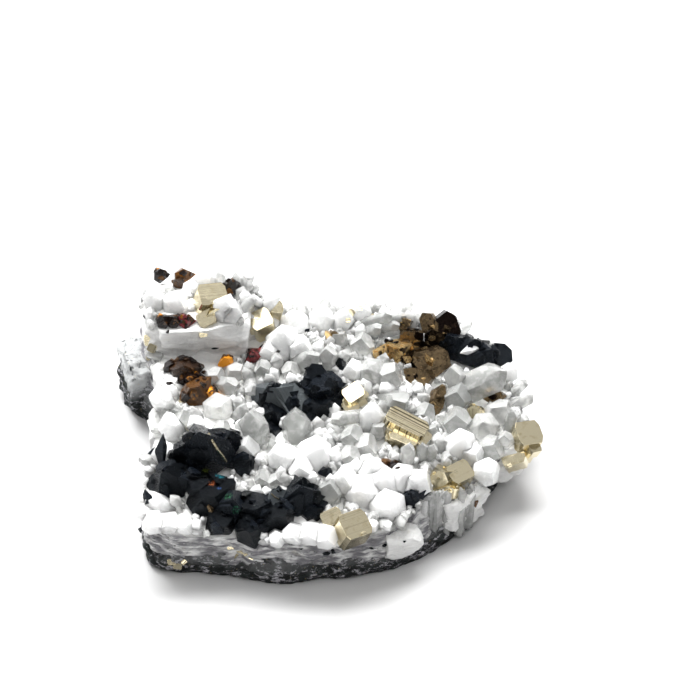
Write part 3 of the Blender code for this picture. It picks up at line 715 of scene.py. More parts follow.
def brown_sphalerite() -> bpy.types.Material:
    """Resinous sphalerite, from near black through red-brown to amber.

    Returns:
        The material.
    """
    paint = Paint("resin_sphalerite")
    shade = paint.stored("shade")
    cloud = paint.noise((0.7, 0.7, 0.7), 4.0)
    tone = shade * 0.8 + cloud * 0.5
    colour = paint.mix(
        paint.ramp(tone, 0.46, 1.05), rgb(0.008, 0.004, 0.003), rgb(0.115, 0.050, 0.014)
    )
    colour = paint.mix(paint.ramp(tone, 0.98, 1.16), colour, rgb(0.85, 0.32, 0.02))
    ruby = paint.ramp(shade, -0.3, -1.0) * paint.ramp(cloud, 0.38, 0.56)
    colour = paint.mix(ruby, colour, rgb(0.24, 0.04, 0.045))
    paint.feed(Base_Color=colour)
    paint.feed(Roughness=paint.noise((0.4, 0.4, 0.4), 3.0) * 0.25 + 0.05)
    steps = paint.stripes(paint.stored("across"), 0.2, 3.0)
    paint.bump(steps * 0.7 + paint.noise((0.3, 0.3, 0.3), 4.0), 0.05)
    paint.fix(IOR=1.5, Specular_IOR_Level=0.4, Transmission_Weight=0.10)
    return paint.material


def chalcopyrite() -> bpy.types.Material:
    """Bronze-brown tarnished metal with golden facets and dark pits.

    Returns:
        The material.
    """
    paint = Paint("bronze_chalcopyrite")
    shade = paint.stored("shade")
    cloud = paint.noise((1.1, 1.1, 1.1), 5.0, 0.6)
    tone = shade * 0.8 + cloud * 0.5
    colour = paint.mix(
        paint.ramp(tone, 0.36, 0.66), rgb(0.006, 0.003, 0.002), rgb(0.19, 0.135, 0.075)
    )
    colour = paint.mix(paint.ramp(tone, 0.74, 0.96), colour, rgb(0.86, 0.60, 0.28))
    pits = paint.ramp(paint.noise((0.8, 0.8, 0.8), 4.0, 0.7), 0.57, 0.64)
    paint.feed(Base_Color=paint.mix(pits * 0.7, colour, rgb(0.03, 0.018, 0.012)))
    paint.feed(Roughness=cloud * 0.35 + 0.10)
    steps = paint.stripes(paint.stored("across"), 0.17, 3.0)
    paint.bump(steps * 0.4 - pits * 0.8 + paint.noise((0.4, 0.4, 0.4), 5.0) * 0.9, 0.10)
    paint.fix(Metallic=0.92)
    return paint.material


# Rock


def run_round(angles: Array, away: Array, values: Array) -> Array:
    """Values at angles round the plate's middle, run straight between places away from it."""
    turns = np.arctan2(away[:, 1], away[:, 0])
    order = np.argsort(turns)
    return np.interp(angles, turns[order], values[order], period=2.0 * math.pi)


def outline_radius(corners: Sequence[tuple[float, float]], angles: Array) -> Array:
    """Distance from the plate's middle to an outline at each angle."""
    away = np.array(corners) - PLATE_MIDDLE
    return run_round(angles, away, np.hypot(*away.T))


@dataclass
class Plate:
    """The plate of rock: its uneven top, its broken layered walls and its underside."""

    columns: int = 620
    top_rows: int = 44
    wall_rows: int = 78
    under_rows: int = 22
    noise: Roughness = field(default_factory=lambda: Roughness(11))

    def build(self) -> bpy.types.Object:
        """Make the plate.

        Each row is a ring round the middle. Over the top the ring grows to the rim. Down the
        wall its radius runs from the rim to the underside's outline, with layered noise that is
        long beside the bedding and short across it. Under the plate the ring shrinks again.

        Returns:
            The plate.
        """
        angles = np.linspace(-math.pi, math.pi, self.columns, endpoint=False)
        rim, base = outline_radius(TOP_RIM, angles), outline_radius(UNDERSIDE, angles)
        heading = np.stack((np.cos(angles), np.sin(angles)), axis=-1)
        part = (np.arange(1, self.top_rows + 1) / self.top_rows)[:, None] ** 0.8
        top = self._ring(part * (rim - 0.35), heading)
        height = plate_top(top[..., 0], top[..., 1])
        grain = self.noise.layers(top, (2.6, 2.6, 2.6), 5)
        top[..., 2] = height - 0.25 + 0.42 * grain - 0.5 * smooth_step((part - 0.93) / 0.07)
        down = np.linspace(0.0, 1.0, self.wall_rows + 1)[1:, None]
        wall = self._ring(rim + (base - rim) * down, heading)
        wall[..., 2] = (plate_top(wall[..., 0], wall[..., 1]) - 0.7) * (1.0 - down)
        shift = self._wall_shift(wall) * smooth_step(down / 0.06)
        wall[..., :2] += (shift - 1.3 * smooth_step((down - 0.6) / 0.3))[..., None] * heading
        under = self._ring(
            np.linspace(1.0, 0.0, self.under_rows + 2)[1:-1, None]
            * np.hypot(*(wall[-1, :, :2] - PLATE_MIDDLE).T), heading
        )
        under[..., 2] = 0.8 + 0.16 * self.noise.layers(under, (2.2, 2.2, 2.2), 4)
        crown = np.array((*PLATE_MIDDLE, plate_top(*PLATE_MIDDLE)))
        middle = np.array((*PLATE_MIDDLE, 0.8))
        rows = np.concatenate((top, wall, under))
        points = np.concatenate((rows.reshape(-1, 3), (crown, middle)))
        piece = ring_piece("rock_plate", points, self.columns)
        on_wall = np.zeros(rows.shape[:2])
        on_wall[self.top_rows:] = 1.0
        set_point_values(piece, "wall", np.append(on_wall.ravel(), (0.0, 1.0)))
        return piece

    def _ring(self, radius: Array, heading: Array) -> Array:
        """Points at radii round the plate's middle, at height 0."""
        flat = radius[..., None] * heading + PLATE_MIDDLE
        return np.concatenate((flat, np.zeros((*flat.shape[:-1], 1))), axis=-1)

    def _wall_shift(self, wall: Array) -> Array:
        """How far the broken wall stands out from its outline."""
        beds = self.noise.layers(wall, (3.4, 3.4, 0.55), 5)
        chips = self.noise.layers(wall + 31.0, (1.5, 1.5, 0.9), 4)
        steps = np.tanh(3.0 * self.noise.at(wall + 57.0, (4.2, 4.2, 0.9)))
        return 0.42 * beds + 0.34 * chips + 0.26 * steps - 0.35


# Height of the dark rock's upper edge on the wall, by the plan point it is seen at
HOST_EDGE = [
    (-26.0, 5.0, 2.8), (-22.4, 3.2, 3.7), (-18.2, 2.6, 3.9), (-13.8, 2.1, 4.0), (-9.3, 1.0, 3.7),
    (-5.0, 0.8, 3.2), (0.0, 1.6, 3.1), (5.0, 2.4, 2.8), (9.0, 3.4, 3.3), (12.0, 5.4, 4.3),
    (16.0, 9.0, 4.6), (19.5, 12.6, 3.6), (22.0, 17.0, 2.4), (25.6, 26.0, 2.6), (25.6, 36.0, 3.4),
    (12.0, 45.4, 3.6), (-4.0, 45.4, 3.0), (-20.0, 45.6, 4.6), (-28.6, 42.0, 7.2),
    (-28.0, 37.0, 6.4), (-24.6, 32.0, 3.6), (-25.0, 20.0, 3.0), (-26.0, 10.0, 2.4),
]


@dataclass
class HostSlab:
    """The dark rock under the quartz, seen as a band round the foot of the wall."""

    columns: int = 620
    wall_rows: int = 46
    under_rows: int = 40
    noise: Roughness = field(default_factory=lambda: Roughness(23))

    def build(self) -> bpy.types.Object:
        """Make the slab.

        A ring row starts on the wall at the band's uneven upper edge, and the rows run down to
        the ground just outside the quartz. Rings inside the foot carry the underside, which is
        flat where layered noise is low and hollowed where it is high.

        Returns:
            The slab.
        """
        angles = np.linspace(-math.pi, math.pi, self.columns, endpoint=False)
        rim, base = outline_radius(TOP_RIM, angles), outline_radius(UNDERSIDE, angles)
        heading = np.stack((np.cos(angles), np.sin(angles), np.zeros_like(angles)), axis=-1)
        marks = np.array(HOST_EDGE)
        edge = run_round(angles, marks[:, :2] - PLATE_MIDDLE, marks[:, 2])
        around = heading * base[:, None]
        edge = edge + 1.25 * self.noise.layers(around, (3.2, 3.2, 3.2), 6)
        edge = np.clip(edge, 0.7, None)[None, :]
        down = np.linspace(0.0, 1.0, self.wall_rows)[:, None]
        z = edge * (1.0 - down)
        share = z / (plate_top(around[:, 0], around[:, 1] + PLATE_MIDDLE[1])[None, :])
        radius = base + (rim - base) * share
        places = np.stack(np.broadcast_arrays(
            radius * heading[:, 0], radius * heading[:, 1], z), axis=-1)
        shift = (0.42 * self.noise.layers(places, (2.4, 2.4, 0.9), 5)
                 + 0.22 * self.noise.layers(places + 19.0, (0.9, 0.9, 0.5), 3))
        bulge = smooth_step(down / 0.3) * (1.0 - 0.8 * smooth_step((down - 0.66) / 0.34))
        radius = radius - 0.75 + 1.0 * bulge + shift * (0.25 + 0.75 * bulge)
        rows = np.stack(np.broadcast_arrays(
            radius * heading[:, 0] + PLATE_MIDDLE[0],
            radius * heading[:, 1] + PLATE_MIDDLE[1], z), axis=-1)
        inward = np.linspace(1.0, 0.0, self.under_rows + 2)[1:-1, None, None]
        under = PLATE_MIDDLE + inward * (rows[-1, :, :2] - PLATE_MIDDLE)
        under = np.concatenate((under, np.zeros((*under.shape[:2], 1))), axis=-1)
        hollows = 0.10 + 0.30 * self.noise.layers(under, (3.0, 3.0, 3.0), 5)
        under[..., 2] = np.clip(hollows, 0.0, 0.6) * smooth_step((1.0 - inward[..., 0]) / 0.1)
        rows = np.concatenate((rows, under))
        points = np.concatenate((
            rows.reshape(-1, 3), ((*PLATE_MIDDLE, 1.0), (*PLATE_MIDDLE, 0.05)),
        ))
        piece = ring_piece("host_slab", points, self.columns)
        # Paler towards the band's top: partly pale veining, partly painted light from above.
        set_point_values(piece, "pale", 0.28 * smooth_step((points[:, 2] - 1.6) / 2.4))
        return piece


@dataclass(frozen=True)
class Lump:
    """A broken lump: its name, middle, sizes and turn, and whether it is the dark rock."""

    name: str
    x: float
    y: float
    z: float
    wide: float
    deep: float
    high: float
    turn: float
    dark: bool = False
    rough: float = 1.0

    def planes(self) -> tuple[Array, Array]:
        """Normals and distances of a box with its corners and edges broken off.

        Returns:
            The unit normals, one row each, and their distances from the middle.
        """
        rng = random.Random(self.name)
        half = np.array((self.wide, self.deep, self.high)) * 0.5
        normals, distances = [], []
        for axis in range(3):
            for sign in (-1.0, 1.0):
                normal = three(rng, -0.12, 0.12)
                normal[axis] = sign
                normals.append(unit(normal))
                distances.append(half[axis])
        for signs in BOX_CORNERS:
            normal = unit(signs * three(rng, 0.6, 1.3) / half)
            normals.append(normal)
            distances.append(float(np.abs(normal) @ half) * rng.uniform(0.70, 0.86))
        return np.array(normals), np.array(distances)

    def build(self, noise: Roughness, rows: int = 110, columns: int = 170) -> bpy.types.Object:
        """Make the lump: along each direction from its middle, the distance to its faces.

        The distances to all faces are blended by a high power, so that edges are a little worn,
        and layered noise is added.

        Args:
            noise: The roughness of its surface.
            rows: Steps from the top pole to the bottom pole.
            columns: Steps round.

        Returns:
            The lump.
        """
        polar, around = np.meshgrid(
            np.linspace(0.0, math.pi, rows + 2)[1:-1],
            np.linspace(0.0, 2.0 * math.pi, columns, endpoint=False), indexing="ij",
        )
        rays = np.stack(
            (np.sin(polar) * np.cos(around), np.sin(polar) * np.sin(around), np.cos(polar)), -1
        )
        rays = np.concatenate((rays.reshape(-1, 3), ((0.0, 0.0, 1.0), (0.0, 0.0, -1.0))))
        normals, distances = self.planes()
        closeness = np.clip(rays @ normals.T, 0.0, None) / distances
        reach = (closeness**EDGE_POWER).sum(axis=1) ** (-1.0 / EDGE_POWER)
        angle = math.radians(self.turn)
        turn = np.array((
            (math.cos(angle), -math.sin(angle), 0.0), (math.sin(angle), math.cos(angle), 0.0),
            (0.0, 0.0, 1.0),
        ))
        points = rays * reach[:, None] @ turn.T + (self.x, self.y, self.z)
        shift = (0.50 * noise.layers(points, (1.9, 1.9, 1.3), 5)
                 + 0.30 * np.tanh(3.0 * noise.at(points + 9.0, (2.8, 2.8, 1.2)))
                 + 0.10 * noise.at(points, (0.3, 0.3, 0.2)))
        points = points + (rays @ turn.T) * (self.rough * shift - 0.25)[:, None]
        piece = ring_piece(self.name, points, columns)
        steep = 1.0 - smooth_step(((rays @ turn.T)[:, 2] - 0.35) / 0.3)
        set_point_values(piece, "wall", steep * LUMP_LAYERING)
        # Paler towards the top on the dark lump: partly pale frosting, partly painted light from
        # above.
        set_point_values(piece, "pale", smooth_step((points[:, 2] - 3.6) / 2.4))
        return piece


LUMP_LAYERING = 0.22
EDGE_POWER = 60.0  # the higher, the less worn a lump's edges are

LUMPS = [
    Lump("block_left", -22.6, 40.6, 13.6, 7.6, 8.6, 8.0, 8, rough=0.5),
    Lump("block_right", -15.6, 40.4, 13.8, 8.6, 8.2, 7.6, -6, rough=0.5),
    Lump("block_brow", -18.6, 36.9, 15.0, 11.5, 3.4, 4.2, 3, rough=0.4),
    Lump("block_shoulder", -10.6, 42.2, 12.8, 5.4, 5.6, 6.2, 20),
    Lump("host_bulge", -26.6, 40.0, 4.4, 6.0, 9.6, 8.8, 10, True),
    Lump("left_edge_spine", -23.4, 32.2, 9.6, 3.4, 8.0, 4.8, 4, rough=0.55),
    Lump("left_edge_low", -24.0, 24.4, 8.0, 3.4, 7.4, 4.6, -4, rough=0.55),
    Lump("front_step", 10.2, 5.0, 4.4, 5.6, 3.6, 4.4, 24, rough=0.45),
    Lump("right_foot", 18.4, 12.8, 3.8, 7.6, 4.4, 6.6, 42),
    Lump("right_edge", 24.6, 22.4, 5.6, 4.4, 6.6, 6.0, 20),
]


# Quartz crystals

# How much whiter or greyer than by chance a crystal is
WHITENESS = {
    "bright_hexagon": 0.5, "white_mass_left": 0.8, "white_mass_middle": 0.8,
    "white_mass_right": 0.8, "white_mass_front": 0.8, "white_mass_corner": 0.8,
    "front_bright_left": 0.8, "front_bright_right": 0.8, "corner_white_left": 0.8,
    "pointed_bright": 0.6, "bright_facets": 0.6, "left_tall": -0.6, "upright_point": -0.6,
    "grey_round": -0.4, "clear_grey_lying": -0.5, "clear_hexagon": -0.3, "big_grey": -0.4,
    "blocky_pair_left": 0.3, "blocky_pair_right": 0.3, "round_beside_blade": -0.2,
}
TIP_ANGLE = math.radians(51.8)
SINK = 1.4
SIX_FACED_WIDTH = 4.1
FIBRES = 40
NO_FACE = 1e6  # distance of a tip face that a crystal doesn't have
SIDE_TURNS = np.arange(6) * math.pi / 3.0
FLATS = np.stack((np.cos(SIDE_TURNS), np.sin(SIDE_TURNS)), axis=-1)


@dataclass(frozen=True)
class Quartz:
    """A quartz crystal: its middle's pixel, width, length, leans, turn and rise; clear or not."""

    name: str
    px: float
    py: float
    width: float
    length: float
    right: float
    front: float
    turn: float
    rise: float = 0.0
    clear: bool = False


# Name, pixel, width, length, lean to the right, to the front, turn and, in some, rise
MILKY_ROWS = (
    ("bright_hexagon", 318, 452, 5.0, 5.0, 24, 26, 12),
    ("pale_left", 280, 456, 4.2, 5.0, -30, 24, 2), ("pale_low", 300, 469, 3.6, 4.0, -6, 38, 25),
    ("white_beside_round", 344, 480, 3.8, 4.4, -4, 24, 7),
    ("white_mass_left", 362, 492, 5.2, 4.6, -10, 40, 22),
    ("white_mass_middle", 384, 482, 5.4, 4.4, 8, 30, 3),
    ("white_mass_right", 405, 476, 4.8, 4.2, 14, 22, 33),
    ("white_mass_front", 388, 508, 5.2, 4.2, 4, 52, 12),
    ("white_mass_corner", 420, 482, 4.0, 4.4, 25, 20, 18),
    ("front_bright_left", 309, 534, 3.6, 3.6, -16, 50, 11),
    ("front_bright_right", 326, 538, 3.4, 3.4, 12, 56, 28),
    ("corner_white_left", 152, 522, 3.4, 3.6, -34, 44, 14),
    ("corner_white_right", 168, 523, 3.2, 3.4, -6, 52, 30),
    ("corner_grey", 152, 503, 3.2, 3.8, -44, 20, 21),
    ("edge_white_high", 161, 452, 3.3, 4.0, -32, 16, 12),
    ("edge_white_mid", 168, 425, 3.6, 4.4, -22, 20, 24),
    ("edge_white_top", 160, 398, 3.2, 5.0, -12, 30, 15),
    ("pointed_bright", 373, 414, 3.4, 4.6, 8, 8, 25),
    ("bright_facets", 462, 444, 4.8, 5.0, 12, 26, 14),
    ("back_facets_big", 283, 338, 5.0, 5.2, -6, 14, 8),
    ("back_facets_right", 300, 347, 3.6, 4.2, 16, 24, 29),
    ("pink_facet", 292, 318, 4.4, 3.4, -8, 10, 3),
    ("back_left_white", 262, 300, 3.6, 4.2, 6, -8, 21),
    ("back_mid_white", 320, 314, 3.6, 3.6, -10, -4, 10),
    ("back_edge_white", 360, 309, 3.0, 3.4, -14, -10, 15),
    ("right_rim_white", 511, 372, 3.0, 3.4, 46, 10, 26),
    ("right_low_white", 488, 472, 4.0, 4.0, 20, 44, 5),
    ("block_back_one", 205, 276, 3.2, 3.4, -10, -8, 18),
    ("block_back_two", 224, 304, 3.6, 4.0, 8, 6, 4),
    ("block_back_three", 150, 296, 3.0, 3.4, -20, 10, 23),
    ("block_top_one", 176, 300, 3.8, 3.2, 6, 20, 11),
    ("left_tall_foot", 246, 446, 3.4, 3.6, -10, 45, 5),
    ("white_mass_back", 372, 468, 4.2, 4.0, -12, 12, 30),
    ("front_grey", 293, 535, 3.0, 3.4, -10, 56, 5),
    ("front_small", 277, 540, 2.2, 2.6, 10, 60, 15), ("corner_low", 186, 526, 2.6, 3.0, 8, 54, 9),
    ("corner_edge", 143, 512, 2.4, 3.2, -56, 30, 17),
    ("behind_black_left", 194, 424, 2.6, 3.0, -8, 40, 19),
    ("behind_black_right", 238, 440, 2.8, 3.2, 12, 44, 9),
    ("bright_facets_low", 473, 455, 3.6, 4.0, 20, 40, 2),
    ("blocky_grey_behind", 352, 370, 3.0, 3.6, -24, 16, 13),
    ("back_facets_left", 268, 350, 2.8, 3.6, -22, 26, 15),
    ("back_mid_clear", 345, 316, 3.2, 3.4, 12, 4, 28),
    ("back_edge_right", 430, 318, 2.6, 3.4, 10, -12, 8),
    ("block_top_two", 232, 322, 3.4, 3.4, 16, 18, 29),
)
CLEAR_ROWS = (
    ("left_stub", 219, 408, 4.4, 3.5, 5, 40, 12), ("left_tall", 252, 424, 4.2, 6.0, -8, 2, 20),
    ("upright_point", 296, 422, 3.9, 5.6, -2, 4, 28),
    ("grey_round", 330, 490, 3.2, 4.2, 4, 14, 16),
    ("behind_black_mid", 222, 430, 3.0, 3.2, 6, 46, 28),
    ("clear_grey_lying", 399, 403, 3.4, 5.2, 40, 42, 13),
    ("clear_hexagon", 425, 414, 3.2, 3.2, -4, 48, 4),
    ("round_beside_blade", 458, 396, 3.9, 4.0, -4, 26, 10),
    ("round_below", 457, 420, 4.0, 4.4, -6, 28, 25),
    ("tall_beside_sheet", 455, 376, 3.2, 4.8, -16, 4, 17),
    ("big_grey", 489, 380, 5.0, 8.0, 56, 4, 22),
    ("blocky_pair_left", 371, 372, 4.2, 4.3, -16, 31, 11),
    ("blocky_pair_right", 391, 375, 3.8, 4.2, 20, 26, 27),
    ("right_rim_grey", 502, 412, 3.8, 4.2, 26, 22, 14),
    ("right_grey_mass", 484, 426, 4.4, 4.2, -6, 30, 30),
    ("middle_clear_two", 367, 446, 3.5, 3.4, 8, 42, 22),
    ("hooked_low", 280, 491, 1.7, 4.6, 76, 36, 10),
    ("druse_low_left", 262, 478, 2.6, 3.0, -20, 40, 15),
    ("druse_low_right", 275, 481, 2.2, 3.0, 15, 35, 40),
    ("edge_clear", 181, 421, 3.2, 3.2, -14, 36, 3),
    ("slender_long", 346, 418, 2.0, 6.0, -66, 30, 12),
    ("clear_small", 433, 431, 1.9, 3.0, 16, 24, 20),
    ("finger_left", 408, 454, 2.0, 4.8, 2, 6, 12), ("finger_mid", 423, 452, 1.6, 4.0, -6, 4, 25),
    ("finger_right", 432, 452, 1.6, 3.8, 8, 6, 7), ("ringed_stub", 290, 371, 2.8, 2.6, 0, 44, 19),
    ("leaning_clear", 310, 360, 2.8, 4.4, 44, 18, 11),
    ("clear_upright", 328, 356, 2.8, 4.4, -10, 8, 24),
    ("hanging_clear", 250, 388, 1.9, 5.2, 4, 66, 16),
    ("needle_one", 380, 322, 1.7, 5.4, 52, 20, 5, 0.6),
    ("needle_two", 388, 327, 1.6, 5.2, 60, 26, 18, 0.3),
    ("needle_three", 396, 323, 1.5, 4.6, 56, 10, 31, 0.7),
    ("needle_four", 374, 330, 1.8, 4.4, 40, 30, 12),
    ("back_clear", 362, 343, 3.4, 3.4, -4, 20, 17),
    ("back_clear_low", 340, 338, 2.6, 3.0, 18, 14, 2),
    ("right_finger_tall", 512, 420, 1.7, 4.4, 12, 4, 9),
    ("right_finger_low", 506, 440, 2.2, 4.2, -8, 24, 20),
    ("right_grey_low", 492, 448, 3.8, 3.8, 10, 36, 12),
    ("middle_clear_one", 352, 436, 3.4, 3.6, -12, 36, 10),
    ("middle_clear_three", 350, 456, 3.0, 3.2, -6, 44, 19),
    ("middle_clear_four", 380, 430, 2.6, 3.4, 16, 30, 1),
    ("ledge_clear_one", 236, 372, 2.6, 3.4, 24, 40, 14),
    ("ledge_clear_two", 228, 386, 2.6, 4.2, 52, 40, 3),
    ("ledge_clear_three", 262, 368, 2.4, 3.2, -16, 34, 26),
    ("ledge_clear_four", 215, 376, 2.8, 3.2, 14, 38, 8),
)
QUARTZ_CRYSTALS = [Quartz(*row) for row in MILKY_ROWS]
QUARTZ_CRYSTALS += [Quartz(*row, clear=True) for row in CLEAR_ROWS]


def fibres() -> list[Quartz]:
    """Thin upright crystals side by side on the wall at the right of the front.

    They run from the first wall plate to the last one, each a little out of line.
    """
    rng = random.Random("fibres")
    rows = []
    for number in range(FIBRES):
        part = (number + rng.random()) / FIBRES
        rows.append(Quartz(
            f"fibre_{number}", 424.0 + 47.0 * part, 484.0 - 10.0 * part + rng.uniform(-3.0, 3.0),
            rng.uniform(0.7, 1.6), rng.uniform(4.6, 6.8), 1.0 + 8.0 * part + rng.gauss(0.0, 3.5),
            -15.0 + 4.0 * part + rng.gauss(0.0, 3.0), rng.uniform(0.0, 60.0),
            -5.0 + rng.uniform(-0.6, 0.3), clear=rng.random() < 0.5,
        ))
    return rows


@dataclass
class CrystalArrays:
    """Many quartz crystals at once, one row a crystal.

    The frames' columns are two sideways directions and the axis. The sides are the distances of
    the six prism faces from the axis, and the tips those of the tip's faces from the foot.
    """

    foot: Array
    frames: Array
    sides: Array
    tips: Array
    tint: Array
    sink: float = SINK

    def apex(self) -> Array:
        """Height of each point: where three or two tip faces shut the prism first."""
        rise = math.cos(TIP_ANGLE)
        even = self.tips[:, 0::2].mean(axis=1)
        odd = self.tips[:, 1::2].mean(axis=1)
        pairs = (self.tips[:, :3] + self.tips[:, 3:]).min(axis=1) / 2.0
        return np.minimum(np.minimum(even, odd), pairs) / rise

    def side_reach(self, heights: Array) -> Array:
        """Distance of each side from the axis at heights.

        A side keeps its prism distance until its tip face cuts in, and is held to where its two
        neighbours meet.

        Args:
            heights: Heights, one row a crystal.

        Returns:
            Distances, crystals by heights by six.
        """
        cut = (self.tips[:, None, :] - heights[..., None] * math.cos(TIP_ANGLE))
        reach = np.minimum(self.sides[:, None, :], cut / math.sin(TIP_ANGLE))
        for _ in range(2):
            beside = np.roll(reach, 1, -1) + np.roll(reach, -1, -1)
            reach = np.minimum(reach, beside)
        return reach

    def ring_heights(self, steps: int) -> Array:
        """Heights of the rings: the foot, where each tip face starts, and steps to the point."""
        rise, across = math.cos(TIP_ANGLE), math.sin(TIP_ANGLE)
        starts = (self.tips - self.sides * across) / rise
        beside = np.roll(self.tips, 1, -1) + np.roll(self.tips, -1, -1)
        ends = (beside - self.sides * across) / (2.0 * rise)
        keys = np.where(self.tips < NO_FACE, starts, ends)
        point = self.apex()[:, None] * 0.985
        highest = np.minimum(keys.max(axis=1, keepdims=True), point)
        parts = np.linspace(0.0, 1.0, steps + 1)[None, 1:]
        upper = highest + (point - highest) * parts
        keys = np.clip(np.sort(keys, axis=1), 0.02 - self.sink, point)
        foot = np.full_like(point, -self.sink)
        return np.concatenate((foot, keys, upper), axis=1)

    def corners(self, heights: Array, chamfer: float) -> Array:
        """Corners of each ring, two at each prism edge so that the edge is a narrow face.

        A corner is where two neighbouring sides meet, 60 degrees apart.

        Args:
            heights: Heights of the rings, one row a crystal.
            chamfer: How far the two points stand from the corner; none where it is 0.

        Returns:
            Points, crystals by rings by points by three.
        """
        reach = self.side_reach(heights)
        after = np.roll(reach, -1, -1)
        along = (reach - 0.5 * after) / 0.75
        beside = (after - 0.5 * reach) / 0.75
        meet = along[..., None] * FLATS + beside[..., None] * np.roll(FLATS, -1, 0)
        if chamfer:
            before = np.roll(meet, 1, -2)
            edge = meet - before
            length = np.linalg.norm(edge, axis=-1, keepdims=True)
            step = edge / np.maximum(length, 1e-9) * np.minimum(chamfer, 0.35 * length)
            meet = np.stack((before + step, meet - step), axis=-2)
            meet = meet.reshape(*meet.shape[:2], 12, 2)
        tall = np.broadcast_to(heights[..., None, None], (*meet.shape[:3], 1))
        local = np.concatenate((meet, tall), axis=-1)
        return np.einsum("cij,crpj->crpi", self.frames, local) + self.foot[:, None, None, :]

    def build(self, name: str, steps: int, chamfer: float) -> bpy.types.Object:
        """Make all of the crystals in one mesh.

        Args:
            name: The piece's name.
            steps: Rings between the last start of a tip face and the point.
            chamfer: How wide the narrow faces along the prism edges are.

        Returns:
            The piece.
        """
        heights = self.ring_heights(steps)
        points = self.corners(heights, chamfer)
        count, rings, around = points.shape[:3]
        quads = grid_faces(rings, around)
        starts = np.arange(count) * rings * around
        base = np.arange(around)[::-1]
        top = np.arange(around) + (rings - 1) * around
        faces = [(starts[:, None, None] + quads).reshape(-1, 4),
                 starts[:, None] + base, starts[:, None] + top]
        piece = new_piece(name, to_world(points), faces)
        tint = np.broadcast_to(self.tint[:, None, None], points.shape[:3])
        tall = np.broadcast_to(heights[..., None], points.shape[:3])
        set_point_values(piece, "tint", tint.ravel())
        set_point_values(piece, "along", (tall + 3.0 * tint).ravel())
        face_outward(piece)
        return piece

    def hold(self, points: Array, margin: Array) -> Array:
        """Which points lie in any of the crystals, or within a margin of one.

        Args:
            points: The points, one row each.
            margin: A margin a point.

        Returns:
            One yes or no a point.
        """
        local = np.einsum("cij,pci->pcj", self.frames, points[:, None, :] - self.foot)
        out = local[..., :2] @ FLATS.T
        edge = margin[:, None, None]
        beside = (out < self.sides + edge).all(axis=-1)
        upper = out * math.sin(TIP_ANGLE) + local[..., 2:] * math.cos(TIP_ANGLE)
        return (beside & (upper < self.tips + edge).all(axis=-1)).any(axis=1)

    def kept(self, keep: Array) -> "CrystalArrays":
        """The crystals that a row of yes and no keeps."""
        return CrystalArrays(self.foot[keep], self.frames[keep], self.sides[keep],
                             self.tips[keep], self.tint[keep], self.sink)


def named_crystals(rows: Sequence[Quartz]) -> CrystalArrays:
    """Arrays of the crystals that were placed one by one, with the solids' own sizes.

    Args:
        rows: The crystals.

    Returns:
        Their arrays.
    """
    axes = lean_axes(np.array([row.right for row in rows]), np.array([row.front for row in rows]))
    length = np.array([row.length for row in rows])
    foot = seat([row.px for row in rows], [row.py for row in rows], axes * length[:, None] * 0.5)
    foot[:, 2] += [row.rise for row in rows]
    sides, tips = np.empty((len(rows), 6)), np.full((len(rows), 6), NO_FACE)
    for number, row in enumerate(rows):
        rng = random.Random(row.name)
        for side in range(6):
            sides[number, side] = row.width * 0.5 * rng.uniform(0.86, 1.02)
            if side % 2 and row.width < SIX_FACED_WIDTH:
                continue
            larger = 0.0 if side % 2 else rng.uniform(0.02, 0.10)
            tips[number, side] = row.length * math.cos(TIP_ANGLE) * (1.0 - larger)
    tint = np.random.default_rng(5).uniform(0.0, 1.0, len(rows))
    tint += [WHITENESS.get(row.name, 0.0) for row in rows]
    frames = turned_frames(axes, np.array([row.turn for row in rows]))
    return CrystalArrays(foot, frames, sides, tips, tint)


@dataclass(frozen=True)
class Bank:
    """A steep bank set with small crystals: two corners of it, its heading and how many."""

    low: tuple[float, float, float]
    high: tuple[float, float, float]
    right: float
    front: float
    count: int


BANKS = [
    Bank((-10.2, 37.4, 11.4), (-8.4, 44.0, 16.0), 60.0, 10.0, 70),
    Bank((-26.6, 36.0, 16.2), (-9.6, 44.6, 16.9), -4.0, 14.0, 80),
]

# Places kept clear of small crystals: a pixel of the picture and a reach in pixels
BARE = np.array((
    (215, 470, 13), (301, 516, 9), (262, 324, 17), (258, 352, 12), (174, 322, 19), (226, 361, 9),
    (184, 371, 13), (200, 392, 14), (209, 302, 14), (231, 288, 10), (180, 278, 12), (159, 276, 9),
    (161, 452, 9), (210, 345, 26), (180, 345, 26),
))


